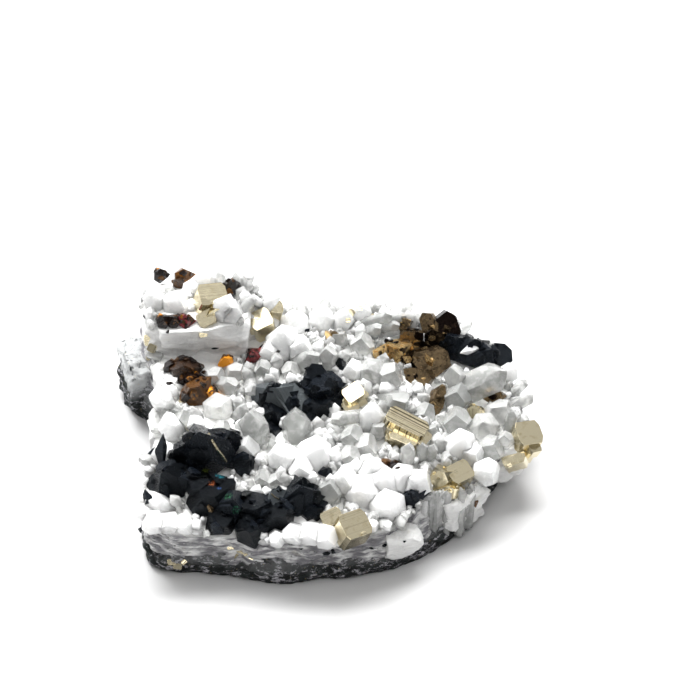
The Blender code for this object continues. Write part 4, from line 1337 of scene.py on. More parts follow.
@dataclass
class Druse:
    """Hundreds of small quartz crystals over the top of the plate and on its steep banks."""

    count: int = 3000
    seed: int = 41

    def arrays(self, ores: "Sequence[Ore]", named: CrystalArrays) -> CrystalArrays:
        """Scatter the crystals, and keep those that are clear of the larger crystals.

        Directions and radii from the plate's middle are even over its top. Each axis leans
        outwards, more so near the rim, with a random lean on top. On a bank the feet are even
        between its corners and the axes lean about its heading.

        Args:
            ores: The ore crystals.
            named: The quartz crystals placed one by one.

        Returns:
            Their arrays.
        """
        rng = np.random.default_rng(self.seed)
        angle = rng.uniform(-math.pi, math.pi, self.count)
        part = np.sqrt(rng.uniform(0.0, 1.0, self.count))
        radius = part * (outline_radius(TOP_RIM, angle) - 0.3)
        x = PLATE_MIDDLE[0] + radius * np.cos(angle)
        y = PLATE_MIDDLE[1] + radius * np.sin(angle)
        feet = [np.stack((x, y, crystal_floor(x, y) - 0.25), axis=-1)]
        outward = 46.0 * part**4
        right, front = [outward * np.cos(angle)], [-outward * np.sin(angle) + 6.0]
        for bank in BANKS:
            feet.append(rng.uniform(bank.low, bank.high, (bank.count, 3)))
            right.append(np.full(bank.count, bank.right))
            front.append(np.full(bank.count, bank.front))
        foot = np.concatenate(feet)
        total = len(foot)
        axes = lean_axes(np.concatenate(right) + rng.normal(0.0, 20.0, total),
                         np.concatenate(front) + rng.normal(0.0, 20.0, total))
        width = rng.uniform(0.6, 1.0, total) + 1.1 * rng.uniform(0.0, 1.0, total) ** 3
        length = width * rng.uniform(1.1, 1.9, total)
        frames = turned_frames(axes, rng.uniform(0.0, 60.0, total))
        sides = width[:, None] * 0.5 * rng.uniform(0.84, 1.02, (total, 6))
        tips = np.full((total, 6), NO_FACE)
        larger = rng.uniform(0.0, 0.14, (total, 3))
        tips[:, 0::2] = length[:, None] * math.cos(TIP_ANGLE) * (1.0 - larger)
        tint = rng.uniform(0.0, 1.0, total)
        crystals = CrystalArrays(foot, frames, sides, tips, tint, 0.8)
        keep = np.ones(total, bool)
        for reach in (0.0, 0.5, 1.0):
            along = foot + axes * (length * reach)[:, None]
            up = along[:, 1] * math.sin(VIEW_TILT) + along[:, 2] * math.cos(VIEW_TILT)
            shown = np.stack((ZERO_PX + along[:, 0] / PIXEL, ZERO_PY - up / PIXEL), axis=-1)
            away = np.linalg.norm(shown[:, None, :] - BARE[:, :2], axis=-1)
            keep &= (away > BARE[:, 2]).all(axis=1)
            for ore in ores:
                keep &= ~ore.holds(along, 0.12 * width)
            if reach:
                keep &= ~named.hold(along, 0.15 * width)
        return crystals.kept(keep)


# Ore crystals


class Form(Enum):
    """Forms of the ore crystals."""

    CUBE = "cube"
    ROUGH = "rough"
    PLATE = "plate"
    WEDGE = "wedge"


def form_planes(form: Form, rng: random.Random) -> tuple[Array, Array]:
    """Face normals and distances of a form, as parts of its size.

    A cube has four pyritohedral faces at its upright edges. A rough crystal has tetrahedral
    faces of two sizes and two corners taken off. A plate has two broad faces and seven edges. A
    wedge has four large disphenoid faces with their corners taken off.

    Args:
        form: The form.
        rng: Gives the small differences between crystals.

    Returns:
        The unit normals and their distances.
    """
    normals: list[Array] = []
    distances: list[float] = []
    if form is Form.CUBE:
        normals = [sign * axis for axis in np.eye(3) for sign in (-1.0, 1.0)]
        distances = [1.0] * 6
        for long_way in (-2.0, 2.0):
            for short_way in (-1.0, 1.0):
                normals.append(unit((long_way, short_way, 0.0)))
                distances.append(rng.uniform(1.10, 1.20))
    elif form is Form.ROUGH:
        for signs in BOX_CORNERS:
            normals.append(unit(signs + three(rng, -0.16, 0.16)))
            large = signs.prod() > 0
            distances.append(rng.uniform(0.72, 0.82) if large else rng.uniform(0.86, 0.96))
        for axis in np.eye(3)[:2]:
            sign = rng.choice((-1.0, 1.0))
            normals.append(unit(sign * axis + three(rng, -0.2, 0.2)))
            distances.append(rng.uniform(0.8, 0.92))
    elif form is Form.PLATE:
        normals = [np.array((0.0, 0.0, 1.0)), np.array((0.0, 0.0, -1.0))]
        distances = [1.0, 1.0]
        for side in range(7):
            angle = (side + rng.uniform(-0.22, 0.22)) * 2.0 * math.pi / 7.0
            normals.append(unit((math.cos(angle), math.sin(angle), rng.uniform(-0.06, 0.06))))
            distances.append(rng.uniform(0.82, 1.0))
    else:
        for signs in ((1, 1, 1), (1, -1, -1), (-1, 1, -1), (-1, -1, 1)):
            normals.append(unit(signs + three(rng, -0.1, 0.1)))
            distances.append(rng.uniform(0.5, 0.6))
            normals.append(-normals[-1])
            distances.append(rng.uniform(0.86, 1.04))
    return np.array(normals), np.array(distances)


@dataclass
class Hull:
    """A flat-faced convex body: unit normals, distances from its middle, middle and frame."""

    normals: Array
    distances: Array
    middle: Array
    frame: Array
    shade: float = 0.5

    def corners(self) -> Array:
        """Every point where three face planes meet inside all the others.

        Returns:
            The points, one row each.
        """
        count = len(self.normals)
        trios = np.array([(i, j, k) for i in range(count) for j in range(i) for k in range(j)])
        planes = self.normals[trios]
        solvable = np.abs(np.linalg.det(planes)) > 1e-4
        sides = self.distances[trios][solvable][:, :, None]
        points = np.linalg.solve(planes[solvable], sides)[:, :, 0]
        inside = (points @ self.normals.T <= self.distances + 1e-7).all(axis=1)
        return np.unique(np.round(points[inside], 5), axis=0) + self.middle

    def surface_point(self, ray: Array) -> Array:
        """Where a direction from the middle meets the surface."""
        facing = self.normals @ ray
        reach = (self.distances[facing > 1e-6] / facing[facing > 1e-6]).min()
        return self.middle + ray * reach


def stretched(
    planes: tuple[Array, Array], half: Array, middle: Array, frame: Array, shade: float
) -> Hull:
    """A form's planes stretched to half sizes and set in a frame at a middle.

    Args:
        planes: The form's normals and distances.
        half: Its three half sizes.
        middle: Its middle, in plan millimetres.
        frame: A matrix whose columns are its directions.
        shade: Its shade.

    Returns:
        The body.
    """
    scaled = planes[0] / half
    lengths = np.linalg.norm(scaled, axis=1)
    return Hull(unit(scaled @ frame.T), planes[1] / lengths, middle, frame, shade)


@dataclass(frozen=True)
class Ore:
    """An ore crystal: form, pixel of its middle, half sizes, leans, turn, rise and shade."""

    form: Form
    px: float
    py: float
    across: float
    deep: float
    tall: float
    right: float
    front: float
    turn: float
    rise: float
    label: str = ""
    shade: float | None = None

    def half(self) -> Array:
        """Its three half sizes."""
        return np.array((self.across, self.deep, self.tall))

    def hull(self) -> Hull:
        """Its form stretched to its half sizes and turned to its lean.

        Returns:
            The body, in plan millimetres.
        """
        planes = form_planes(self.form, random.Random(self.label))
        axes = lean_axes(np.array([self.right]), np.array([self.front]))
        frame = turned_frames(axes, np.array([self.turn]))[0]
        middle = seat([self.px], [self.py], np.array([(0.0, 0.0, self.rise)]))[0]
        middle[2] += self.rise
        shade = self.shade
        if shade is None:
            shade = random.Random(self.label + "_shade").random()
        return stretched(planes, self.half(), middle, frame, shade)

    def holds(self, points: Array, margin: Array) -> Array:
        """Which points lie inside the crystal, or within a margin of it."""
        hull = HULLS[self.label]
        depth = (points - hull.middle) @ hull.normals.T - hull.distances
        return (depth < margin[:, None]).all(axis=1)


HULLS: dict[str, Hull] = {}


@dataclass(frozen=True)
class Cluster:
    """Ore crystals of one mineral grown together, with small ones standing on them."""

    name: str
    slot: Slot
    crystals: tuple[tuple[Any, ...], ...]
    small: int = 9

    def ores(self) -> list[Ore]:
        """Its crystals, each with its own label."""
        return [
            Ore(Form(row[0]), *row[1:10], f"{self.name}_{number}", *row[10:])
            for number, row in enumerate(self.crystals)
        ]

    def bodies(self) -> list[Hull]:
        """The hulls of its crystals, and of small ones on them in nearly the same attitude.

        Returns:
            The hulls.
        """
        bodies = []
        rng = random.Random(self.name)
        for ore in self.ores():
            hull = HULLS[ore.label]
            bodies.append(hull)
            half = ore.half()
            amount = self.small if half.min() > 0.9 else self.small // 2
            if ore.form is Form.CUBE:
                amount = 1
            for _ in range(amount):
                ray = np.array([rng.gauss(0.0, 1.0) for _ in range(3)])
                ray = unit(hull.frame @ (unit(ray) * half))
                ray[2] = abs(ray[2]) * 0.8 + 0.1
                spot = hull.surface_point(unit(ray))
                size = half.mean() * rng.uniform(0.16, 0.42)
                tilt = [rng.gauss(0.0, 0.10) for _ in range(3)]
                frame = hull.frame + np.cross(np.array(tilt), hull.frame.T).T
                form = Form.ROUGH if ore.form is Form.PLATE else ore.form
                planes = form_planes(form, rng)
                stretch = size * three(rng, 0.7, 1.3)
                centre = spot - unit(ray) * size * rng.uniform(0.25, 0.6)
                bodies.append(stretched(planes, stretch, centre, frame, rng.random()))
        return bodies

    def build(self) -> bpy.types.Object:
        """Make the cluster's hulls in one mesh, their edges a little rounded.

        Returns:
            The piece.
        """
        return hulls_piece(f"{self.name}_crystals", self.bodies(), 0.045)


def hulls_piece(name: str, bodies: Sequence[Hull], worn: float) -> bpy.types.Object:
    """Make one mesh of many hulls.

    Args:
        name: The piece's name.
        bodies: The hulls.
        worn: How wide their edges are rounded, in millimetres.

    Returns:
        The piece, with a shade on its points and a place across each face on its corners.
    """
    mesh = bmesh.new()
    for body in bodies:
        shell = hull_shell(body)
        mark_shell(shell, body)
        mesh.from_mesh(shell)
        bpy.data.meshes.remove(shell)
    data = bpy.data.meshes.new(name)
    mesh.to_mesh(data)
    mesh.free()
    piece = bpy.data.objects.new(name, data)
    bpy.context.scene.collection.objects.link(piece)
    bevel = piece.modifiers.new("worn_edges", "BEVEL")
    bevel.width = worn * MM
    bevel.segments = 2
    bevel.limit_method = "ANGLE"
    bevel.angle_limit = math.radians(22.0)
    return piece


def read(items: Any, name: str, kind: type, width: int = 1) -> Array:
    """One property of all of a mesh's items, one row an item where the width is over 1."""
    values = np.empty(len(items) * width, kind)
    items.foreach_get(name, values)
    return values.reshape(-1, width) if width > 1 else values


def mark_shell(shell: bpy.types.Mesh, body: Hull) -> None:
    """Store the hull's shade on its points, and the place across each face on its corners.

    Across is along the direction of the hull's frame that comes two after the one which the face
    looks along most.
    """
    facing = np.abs(read(shell.polygons, "normal", np.float32, 3) @ body.frame).argmax(axis=1)
    sideways = body.frame.T[(facing + 2) % 3]
    sideways = np.repeat(sideways, read(shell.polygons, "loop_total", np.int32), axis=0)
    corners = read(shell.vertices, "co", np.float32, 3)[
        read(shell.loops, "vertex_index", np.int32)]
    for name, domain, values in (
        ("shade", "POINT", np.full(len(shell.vertices), body.shade)),
        ("across", "CORNER", (corners * sideways).sum(axis=1) / MM),
    ):
        store = shell.attributes.new(name, "FLOAT", domain)
        store.data.foreach_set("value", values.astype(np.float32))


def hull_shell(body: Hull) -> bpy.types.Mesh:
    """The closed shell round a hull's corners, its coplanar triangles joined.

    Args:
        body: The hull.

    Returns:
        A mesh in metres.
    """
    data = bpy.data.meshes.new("shell")
    data.from_pydata(to_world(body.corners()), [], [])
    shell = bmesh.new()
    shell.from_mesh(data)
    hull = bmesh.ops.convex_hull(shell, input=shell.verts)
    loose = [item for item in hull["geom_interior"] if isinstance(item, bmesh.types.BMVert)]
    bmesh.ops.delete(shell, geom=loose, context="VERTS")
    bmesh.ops.dissolve_limit(
        shell, angle_limit=math.radians(0.6), verts=shell.verts, edges=shell.edges
    )
    bmesh.ops.recalc_face_normals(shell, faces=shell.faces)
    shell.normal_update()
    shell.to_mesh(data)
    shell.free()
    return data


CLUSTERS = [
    Cluster("pyrite_front", Slot.PYRITE, (
        ("cube", 352, 529, 2.1, 2.0, 2.0, 16, 22, 32, 0.9, 0.45),
        ("cube", 333, 519, 1.5, 1.2, 1.1, -14, 28, 16, 0.7, 0.5),
        ("cube", 341, 527, 1.2, 1.2, 1.0, 4, 20, 8, -0.2),
    )),
    Cluster("pyrite_centre", Slot.PYRITE, (
        ("cube", 405, 428, 3.1, 1.5, 1.7, 13, 11, -22, 1.7, 1.0),
        ("cube", 403, 440, 2.2, 1.5, 1.7, 10, 16, -18, 0.6, 0.1),
        ("cube", 418, 440, 1.3, 1.3, 1.5, 22, 20, -28, 0.6, 0.0),
    )),
    Cluster("pyrite_upper", Slot.PYRITE, (
        ("cube", 355, 397, 1.5, 1.3, 1.5, -10, 18, 30, 1.1, 0.1),
        ("cube", 350, 407, 1.2, 1.0, 1.0, 10, 26, 10, 0.2),
    )),
    Cluster("pyrite_right", Slot.PYRITE, (
        ("cube", 524, 443, 1.9, 1.9, 2.9, 18, 14, 24, -0.4, 0.0),
        ("cube", 515, 459, 1.7, 1.4, 1.6, -10, 30, 12, -1.6, 0.1),
    )),
    Cluster("pyrite_rim", Slot.PYRITE, (
        ("rough", 444, 478, 2.2, 1.7, 1.7, -10, 24, 20, 0.6),
        ("cube", 458, 476, 1.8, 1.5, 1.5, 14, 20, 38, 0.8, 0.3),
        ("rough", 450, 491, 2.2, 1.5, 1.7, 6, 36, 10, -0.7),
    )),
    Cluster("pyrite_back_left", Slot.PYRITE, (
        ("cube", 209, 300, 2.1, 1.7, 1.9, 14, 14, 18, 0.9, 0.5),
        ("rough", 214, 314, 1.9, 1.4, 1.8, 8, 26, 40, 0.2),
        ("cube", 206, 320, 1.3, 1.1, 1.3, -6, 34, 25, -0.2),
    )),
    Cluster("pyrite_back", Slot.PYRITE, (
        ("cube", 262, 326, 1.6, 1.5, 2.4, -8, 20, 22, 1.4, 0.05),
        ("cube", 272, 316, 1.1, 1.1, 2.2, 12, 6, 10, 1.0, 0.1),
    )),
    Cluster("pyrite_corner_small", Slot.PYRITE, (
        ("wedge", 477, 411, 1.4, 1.2, 1.2, 8, 24, 15, 0.8),
    )),
    Cluster("sphalerite_front", Slot.BLACK, (
        ("rough", 205, 452, 4.2, 3.6, 4.0, -6, 18, 12, 1.5),
        ("rough", 184, 459, 2.4, 2.6, 2.9, -24, 24, 40, 0.7),
        ("rough", 225, 444, 2.2, 2.4, 2.8, 20, 14, 64, 1.2),
        ("rough", 243, 463, 1.7, 1.6, 1.8, 16, 22, 18, 0.9),
        ("rough", 172, 480, 3.2, 2.6, 2.6, -22, 28, 55, 0.6),
        ("rough", 191, 482, 3.0, 2.6, 2.4, 6, 34, 22, 0.2),
        ("plate", 160, 487, 2.0, 2.4, 0.6, -50, 30, 10, 0.2),
        ("rough", 210, 502, 3.6, 3.2, 2.6, -8, 38, 33, 0.3),
        ("rough", 232, 508, 2.8, 2.6, 2.6, 12, 34, 5, 0.5),
        ("rough", 222, 524, 2.6, 1.9, 2.1, 6, 50, 48, -0.3),
        ("rough", 256, 512, 2.8, 2.6, 2.4, -10, 36, 26, 0.4),
        ("rough", 275, 519, 3.0, 2.2, 2.3, 16, 40, 52, 0.2),
        ("rough", 250, 530, 2.4, 1.9, 2.1, -8, 48, 14, -0.1),
        # Its shade of 1.7 gives this plate a painted blue-grey sheen.
        ("plate", 280, 502, 2.2, 2.0, 0.7, 34, 30, 30, 0.9, 1.7),
        ("rough", 303, 500, 2.9, 2.6, 3.0, 10, 20, 24, 0.6),
        ("rough", 312, 512, 1.9, 1.6, 2.1, 26, 34, 60, -0.1),
    )),
    Cluster("sphalerite_left_flake", Slot.BLACK, (
        ("plate", 161, 452, 0.8, 2.0, 0.6, -32, 28, 78, 0.6),
    )),
    # Shades above 1.3 in this group give its blades a painted blue-grey sheen.
    Cluster("sphalerite_centre", Slot.BLACK, (
        ("plate", 321, 388, 2.9, 2.7, 1.3, -8, -6, 22, 0.9),
        ("plate", 315, 377, 1.7, 1.9, 0.6, 24, 34, 8, 1.5),
        ("rough", 278, 398, 2.4, 2.0, 2.4, -14, 20, 28, 1.0, 1.8),
        ("rough", 264, 396, 2.0, 1.7, 2.2, 10, 28, 62, 0.6, 1.7),
        ("plate", 292, 400, 3.0, 2.6, 0.9, 30, 26, 14, 0.9, 2.0),
        ("rough", 318, 410, 2.2, 1.9, 2.1, 18, 30, 50, 0.1),
        ("rough", 275, 417, 2.4, 2.2, 2.0, 0, 36, 10, -0.5),
        ("rough", 272, 434, 1.6, 2.0, 1.8, 0, 40, 20, -1.2),
        ("plate", 334, 399, 1.5, 2.0, 0.6, 26, 10, 70, 0.7),
    )),
    Cluster("sphalerite_right_back", Slot.BLACK, (
        ("rough", 455, 346, 2.2, 2.0, 2.0, -12, 14, 14, 1.4),
        ("rough", 470, 350, 2.6, 2.1, 2.0, 18, 16, 42, 1.5),
        ("rough", 486, 357, 2.4, 2.1, 1.9, 24, 20, 28, 1.4),
        ("plate", 501, 356, 2.0, 1.8, 0.7, 30, 18, 12, 1.6),
    )),
    Cluster("sphalerite_rim_fleck", Slot.BLACK, (
        ("rough", 411, 498, 1.6, 1.2, 1.2, -18, 30, 20, 0.9),
        ("rough", 423, 493, 1.1, 0.8, 0.8, 26, 20, 50, 1.0),
    )),
    Cluster("sphalerite_middle_fleck", Slot.BLACK, (
        ("rough", 326, 472, 0.9, 0.7, 0.8, 10, 20, 15, 0.9),
    )),
    Cluster("sphalerite_gap_dark", Slot.BLACK, (
        ("rough", 340, 366, 0.9, 0.9, 1.7, 0, 14, 22, 0.6),
    )),
    Cluster("sphalerite_back_tip", Slot.BROWN, (
        ("rough", 159, 275, 1.1, 1.0, 1.2, 10, 10, 20, 0.5, 0.2),
    )),
    Cluster("sphalerite_back_orange", Slot.BROWN, (
        ("rough", 182, 275, 1.4, 1.0, 1.1, 8, 10, 12, 0.7, 0.9),
        ("rough", 177, 283, 0.9, 0.8, 1.4, -16, 26, 40, 0.2),
    )),
    Cluster("sphalerite_back_dark", Slot.BROWN, (
        ("rough", 231, 288, 1.4, 1.2, 1.7, 4, 12, 26, 0.6, 0.2),
    )),
    Cluster("sphalerite_red_row", Slot.BROWN, (
        ("rough", 162, 322, 1.2, 1.0, 1.0, -10, 20, 22, 0.3, 0.05),
        ("rough", 173, 321, 1.2, 1.0, 1.1, 6, 24, 50, 0.3, 0.1),
        ("rough", 184, 322, 1.2, 1.0, 1.0, 12, 20, 8, 0.3, -0.9),
    )),
    Cluster("sphalerite_step_brown", Slot.BROWN, (
        ("rough", 184, 371, 2.3, 1.6, 1.5, 12, 30, 24, 0.7, 0.45),
        ("rough", 170, 366, 1.2, 0.9, 1.0, 26, 26, 50, 0.9, 0.1),
        ("rough", 191, 381, 1.9, 1.4, 1.5, 4, 34, 12, 0.2, 0.2),
        ("rough", 194, 393, 2.5, 1.8, 1.8, -4, 32, 44, 0.6, 0.7),
        ("rough", 210, 395, 1.4, 1.1, 1.2, 28, 32, 20, 0.3, 1.1),
    )),
    Cluster("sphalerite_amber", Slot.BROWN, (
        ("rough", 226, 361, 1.1, 0.9, 1.1, -8, 30, 22, 0.9, 1.5),
    )),
    Cluster("sphalerite_ledge_red", Slot.BROWN, (
        ("rough", 254, 355, 1.2, 1.0, 0.9, -12, 24, 30, 0.8, -0.8),
        ("rough", 266, 351, 1.3, 0.9, 0.8, 10, 20, 8, 0.8, -1.0),
    )),
    Cluster("sphalerite_middle_red", Slot.BROWN, (
        ("rough", 385, 463, 0.8, 0.7, 0.8, -8, 30, 10, 1.2),
        ("rough", 394, 466, 1.1, 0.8, 0.8, 20, 26, 40, 1.1),
    )),
    Cluster("chalcopyrite_back", Slot.CHALCOPYRITE, (
        ("plate", 447, 328, 2.0, 2.5, 0.75, 16, 44, 30, 2.6, -0.2),
        ("plate", 431, 325, 1.3, 2.0, 0.5, -34, 34, 14, 2.7, 0.45),
        ("wedge", 437, 338, 1.9, 1.6, 1.7, 10, 12, 24, 1.6),
        ("wedge", 412, 337, 2.0, 1.7, 1.9, -8, 20, 38, 1.9),
        ("wedge", 406, 324, 1.2, 1.1, 1.5, -24, 4, 10, 2.0),
        ("wedge", 398, 350, 2.5, 1.8, 1.9, -20, 26, 12, 1.0, 1.25),
        ("wedge", 382, 352, 1.5, 1.2, 1.6, -34, 24, 44, 0.8, 1.3),
        ("wedge", 413, 355, 2.2, 1.8, 2.0, 14, 22, 66, 0.8),
        ("plate", 432, 361, 2.7, 2.2, 0.9, 12, 50, 22, 1.2, 0.35),
        ("plate", 420, 377, 1.4, 2.2, 0.8, -30, 42, 60, 0.4),
        ("wedge", 425, 350, 1.8, 1.5, 1.6, 20, 18, 8, 1.0),
    )),
    Cluster("chalcopyrite_low_blade", Slot.CHALCOPYRITE, (
        ("plate", 437, 401, 1.0, 2.4, 0.75, 40, 40, 10, 0.6),
    )),
    Cluster("chalcopyrite_left", Slot.CHALCOPYRITE, (
        ("wedge", 335, 338, 1.8, 1.3, 1.5, 16, 14, 26, 1.0),
    )),
    Cluster("chalcopyrite_right", Slot.CHALCOPYRITE, (
        ("wedge", 495, 395, 1.8, 1.3, 1.2, 26, 20, 20, 0.9, 0.5),
    )),
]


@dataclass(frozen=True)
class Speck:
    """A grain set in the rock where it shows at a pixel: its half sizes and its turn."""

    slot: Slot
    px: float
    py: float
    wide: float
    high: float
    turn: float = 0.0


SPECKS = [Speck(Slot[name], *row) for name, *row in (
    ("PYRITE", 231, 548, 0.55, 0.22, 8), ("PYRITE", 239, 551, 0.7, 0.24, -12),
    ("PYRITE", 247, 554, 0.5, 0.2, 10), ("PYRITE", 236, 556, 0.4, 0.18, 30),
    ("PYRITE", 251, 558, 0.34, 0.2, -20), ("PYRITE", 171, 562, 0.6, 0.42, 15),
    ("PYRITE", 178, 566, 0.65, 0.45, -20), ("PYRITE", 184, 562, 0.4, 0.34, 40),
    ("CHALCOPYRITE", 264, 585, 0.5, 0.34, 10), ("PYRITE", 345, 306, 0.5, 0.4, 12),
    ("PYRITE", 352, 312, 0.42, 0.5, 40), ("PYRITE", 360, 308, 0.5, 0.34, 5),
    ("PYRITE", 367, 306, 0.36, 0.5, 22), ("PYRITE", 372, 316, 0.4, 0.3, 60),
    ("PYRITE", 348, 320, 0.34, 0.34, 9), ("PYRITE", 146, 340, 0.5, 0.8, 20),
    ("PYRITE", 151, 348, 0.6, 0.6, 50), ("PYRITE", 148, 357, 0.5, 0.5, 5),
    ("PYRITE", 190, 404, 0.6, 0.5, 30), ("PYRITE", 181, 402, 0.4, 0.36, 10),
    ("PYRITE", 202, 334, 0.6, 0.45, 18), ("BLACK", 147, 498, 0.6, 1.0, 10),
    ("BLACK", 141, 530, 0.4, 0.4, 0), ("BLACK", 481, 338, 0.5, 0.25, 35),
    ("BLACK", 268, 286, 0.6, 0.25, -10), ("BLACK", 141, 300, 0.2, 0.5, 5),
    ("BLACK", 144, 316, 0.24, 0.4, 20), ("BLACK", 162, 452, 0.75, 1.9, 8),
    ("BLACK", 384, 526, 0.9, 0.7, 15), ("CHALCOPYRITE", 210, 507, 0.42, 1.5, 10),
    ("QUARTZ", 471, 350, 1.2, 0.6, 30), ("BLACK", 301, 548, 0.4, 0.3, 0),
    ("BLACK", 326, 553, 0.6, 0.4, 12), ("BLACK", 333, 551, 0.45, 0.3, -15),
    ("BLACK", 404, 541, 0.25, 0.2, 0), ("BLACK", 214, 348, 0.5, 0.2, 0),
    ("BLACK", 236, 424, 0.4, 0.4, 10), ("BLACK", 384, 545, 0.7, 0.2, 4),
    ("BLACK", 372, 548, 0.4, 0.2, 0), ("BLACK", 282, 502, 0.4, 0.3, 0),
    ("BLACK", 306, 330, 0.5, 0.4, 0), ("BROWN", 475, 502, 0.4, 0.6, 12),
    ("BROWN", 196, 284, 0.5, 0.2, -30), ("BROWN", 167, 332, 0.3, 0.25, 0),
    ("BROWN", 197, 318, 0.35, 0.3, 25), ("BROWN", 168, 384, 0.5, 0.4, 15),
    ("BROWN", 244, 362, 0.4, 0.3, 0), ("BROWN", 276, 352, 0.5, 0.3, 20),
    ("BROWN", 399, 468, 0.45, 0.25, 0), ("BROWN", 203, 373, 0.4, 0.4, 10),
    ("BROWN", 176, 318, 0.3, 0.3, 0),
)]


TOWARD = np.array((0.0, -math.cos(VIEW_TILT), math.sin(VIEW_TILT)))
FAR = 120.0


def shown_at(px: float, py: float) -> Array:
    """The plan point, in the plane that faces the viewer through the zero, of a pixel."""
    up = (ZERO_PY - py) * PIXEL
    return np.array(((px - ZERO_PX) * PIXEL, up * math.sin(VIEW_TILT), up * math.cos(VIEW_TILT)))


def first_hit(
    px: float, py: float, carriers: Sequence[bpy.types.Object], deeper: float = 0.0
) -> Array | None:
    """Where a pixel's line of sight first meets a carrier.

    Args:
        px: The pixel's column.
        py: The pixel's row.
        carriers: The pieces it can meet.
        deeper: How far on along the line the place is.

    Returns:
        The place in plan millimetres, or nothing where the line misses.
    """
    start = Vector((shown_at(px, py) - (*PLAN_CENTRE, 0.0) + TOWARD * FAR) * MM)
    way = Vector(-TOWARD)
    hits = [carrier.ray_cast(start, way) for carrier in carriers]
    depths = [(hit[1] - start).length for hit in hits if hit[0]]
    if not depths:
        return None
    return np.array(start + way * (min(depths) + deeper * MM)) / MM + (*PLAN_CENTRE, 0.0)


@dataclass(frozen=True)
class Seam:
    """A thin vein laid over crystals along pixels of the picture, with its half thickness."""

    slot: Slot
    path: tuple[tuple[float, float], ...]
    thick: float


SEAMS = [
    Seam(Slot.PYRITE, ((209, 434), (212, 441), (217, 449), (222, 455), (226, 461)),
         0.16),
    Seam(Slot.PYRITE, ((272, 494), (275, 497), (279, 499)), 0.09),
    Seam(Slot.PYRITE, ((182, 424), (188, 431), (190, 438)), 0.07),
]


def seam_hulls(seam: Seam, carriers: Sequence[bpy.types.Object], number: int) -> list[Hull]:
    """Thin bars from each place of a seam to the next, where lines of sight meet the crystals.

    Args:
        seam: The seam.
        carriers: Pieces that can carry it.
        number: Its number, for its own unevenness.

    Returns:
        The bars.
    """
    rng = random.Random(f"seam_{number}")
    hits = [first_hit(px, py, carriers) for px, py in seam.path]
    places = [hit for hit in hits if hit is not None]
    bars = []
    for first, second in zip(places, places[1:]):
        half = (second - first) / 2.0
        length = float(np.linalg.norm(half))
        frame = turned_frames(unit(half)[None, :], np.array([rng.uniform(0.0, 90.0)]))[0]
        planes = form_planes(Form.CUBE, rng)
        size = np.array((seam.thick * rng.uniform(0.7, 1.4), seam.thick, length + 0.1))
        bars.append(stretched(planes, size, first + half, frame, rng.random()))
    return bars


def speck_hull(speck: Speck, carriers: Sequence[bpy.types.Object], number: int) -> Hull | None:
    """A grain more than half sunk in the nearest carrier that its pixel's line of sight meets.

    Args:
        speck: The grain.
        carriers: Pieces that can carry it.
        number: Its number, for its own shape.

    Returns:
        The grain, or nothing where the line misses.
    """
    middle = first_hit(speck.px, speck.py, carriers, 0.3 * min(speck.wide, speck.high))
    if middle is None:
        return None
    rng = random.Random(f"speck_{number}")
    planes = form_planes(Form.CUBE if speck.slot is Slot.PYRITE else Form.ROUGH, rng)
    axes = lean_axes(np.array([rng.uniform(-20.0, 20.0)]), np.array([47.0]))
    frame = turned_frames(axes, np.array([speck.turn]))[0]
    size = np.array((speck.wide, speck.high, min(speck.wide, speck.high) * 0.8))
    return stretched(planes, size, middle, frame, rng.random())


# The view and the light

PICTURE_MM = 99.4
LENS = 1000.0
SENSOR = 36.0
AIM_ACROSS = 2.98
AIM_UP = 33.8


def place_camera() -> None:
    """Set a very long lens 43 degrees above the ground, with the picture's own framing."""
    data = bpy.data.cameras.new("view")
    data.lens = LENS
    data.sensor_width = SENSOR
    data.clip_end = 100.0
    camera = bpy.data.objects.new("view", data)
    bpy.context.scene.collection.objects.link(camera)
    bpy.context.scene.camera = camera
    tilt = VIEW_TILT
    aim = Vector((AIM_ACROSS - PLAN_CENTRE[0], AIM_UP * math.sin(tilt) - PLAN_CENTRE[1],
                  AIM_UP * math.cos(tilt))) * MM
    away = PICTURE_MM * MM * LENS / SENSOR
    camera.location = aim + Vector((0.0, -math.cos(tilt), math.sin(tilt))) * away
    camera.rotation_euler = (math.pi / 2.0 - tilt, 0.0, 0.0)


@dataclass(frozen=True)
class Softbox:
    """A large lamp: its place and size in metres, its power, and whether it shows in glints."""

    name: str
    place: tuple[float, float, float]
    wide: float
    deep: float
    power: float
    glint: bool = True

    def light(self) -> None:
        """Hang the lamp, aimed at the specimen."""
        data = bpy.data.lights.new(self.name, "AREA")
        data.shape = "RECTANGLE"
        data.size, data.size_y = self.wide, self.deep
        data.energy = self.power
        lamp = bpy.data.objects.new(self.name, data)
        lamp.location = self.place
        aim = Vector((0.0, 0.0, 0.008)) - lamp.location
        lamp.rotation_euler = aim.to_track_quat("-Z", "Y").to_euler()
        lamp.visible_camera = False
        lamp.visible_glossy = self.glint
        bpy.context.scene.collection.objects.link(lamp)


SOFTBOXES = [
    Softbox("overhead", (-0.06, 0.28, 0.44), 0.50, 0.30, 7.0, glint=False),
    Softbox("panel", (-0.10, 0.20, 0.44), 0.42, 0.30, 1.2),
    Softbox("back_left", (-0.42, 0.36, 0.24), 0.30, 0.30, 0.8),
    Softbox("front_above", (0.04, -0.30, 0.42), 0.30, 0.20, 0.6),
]


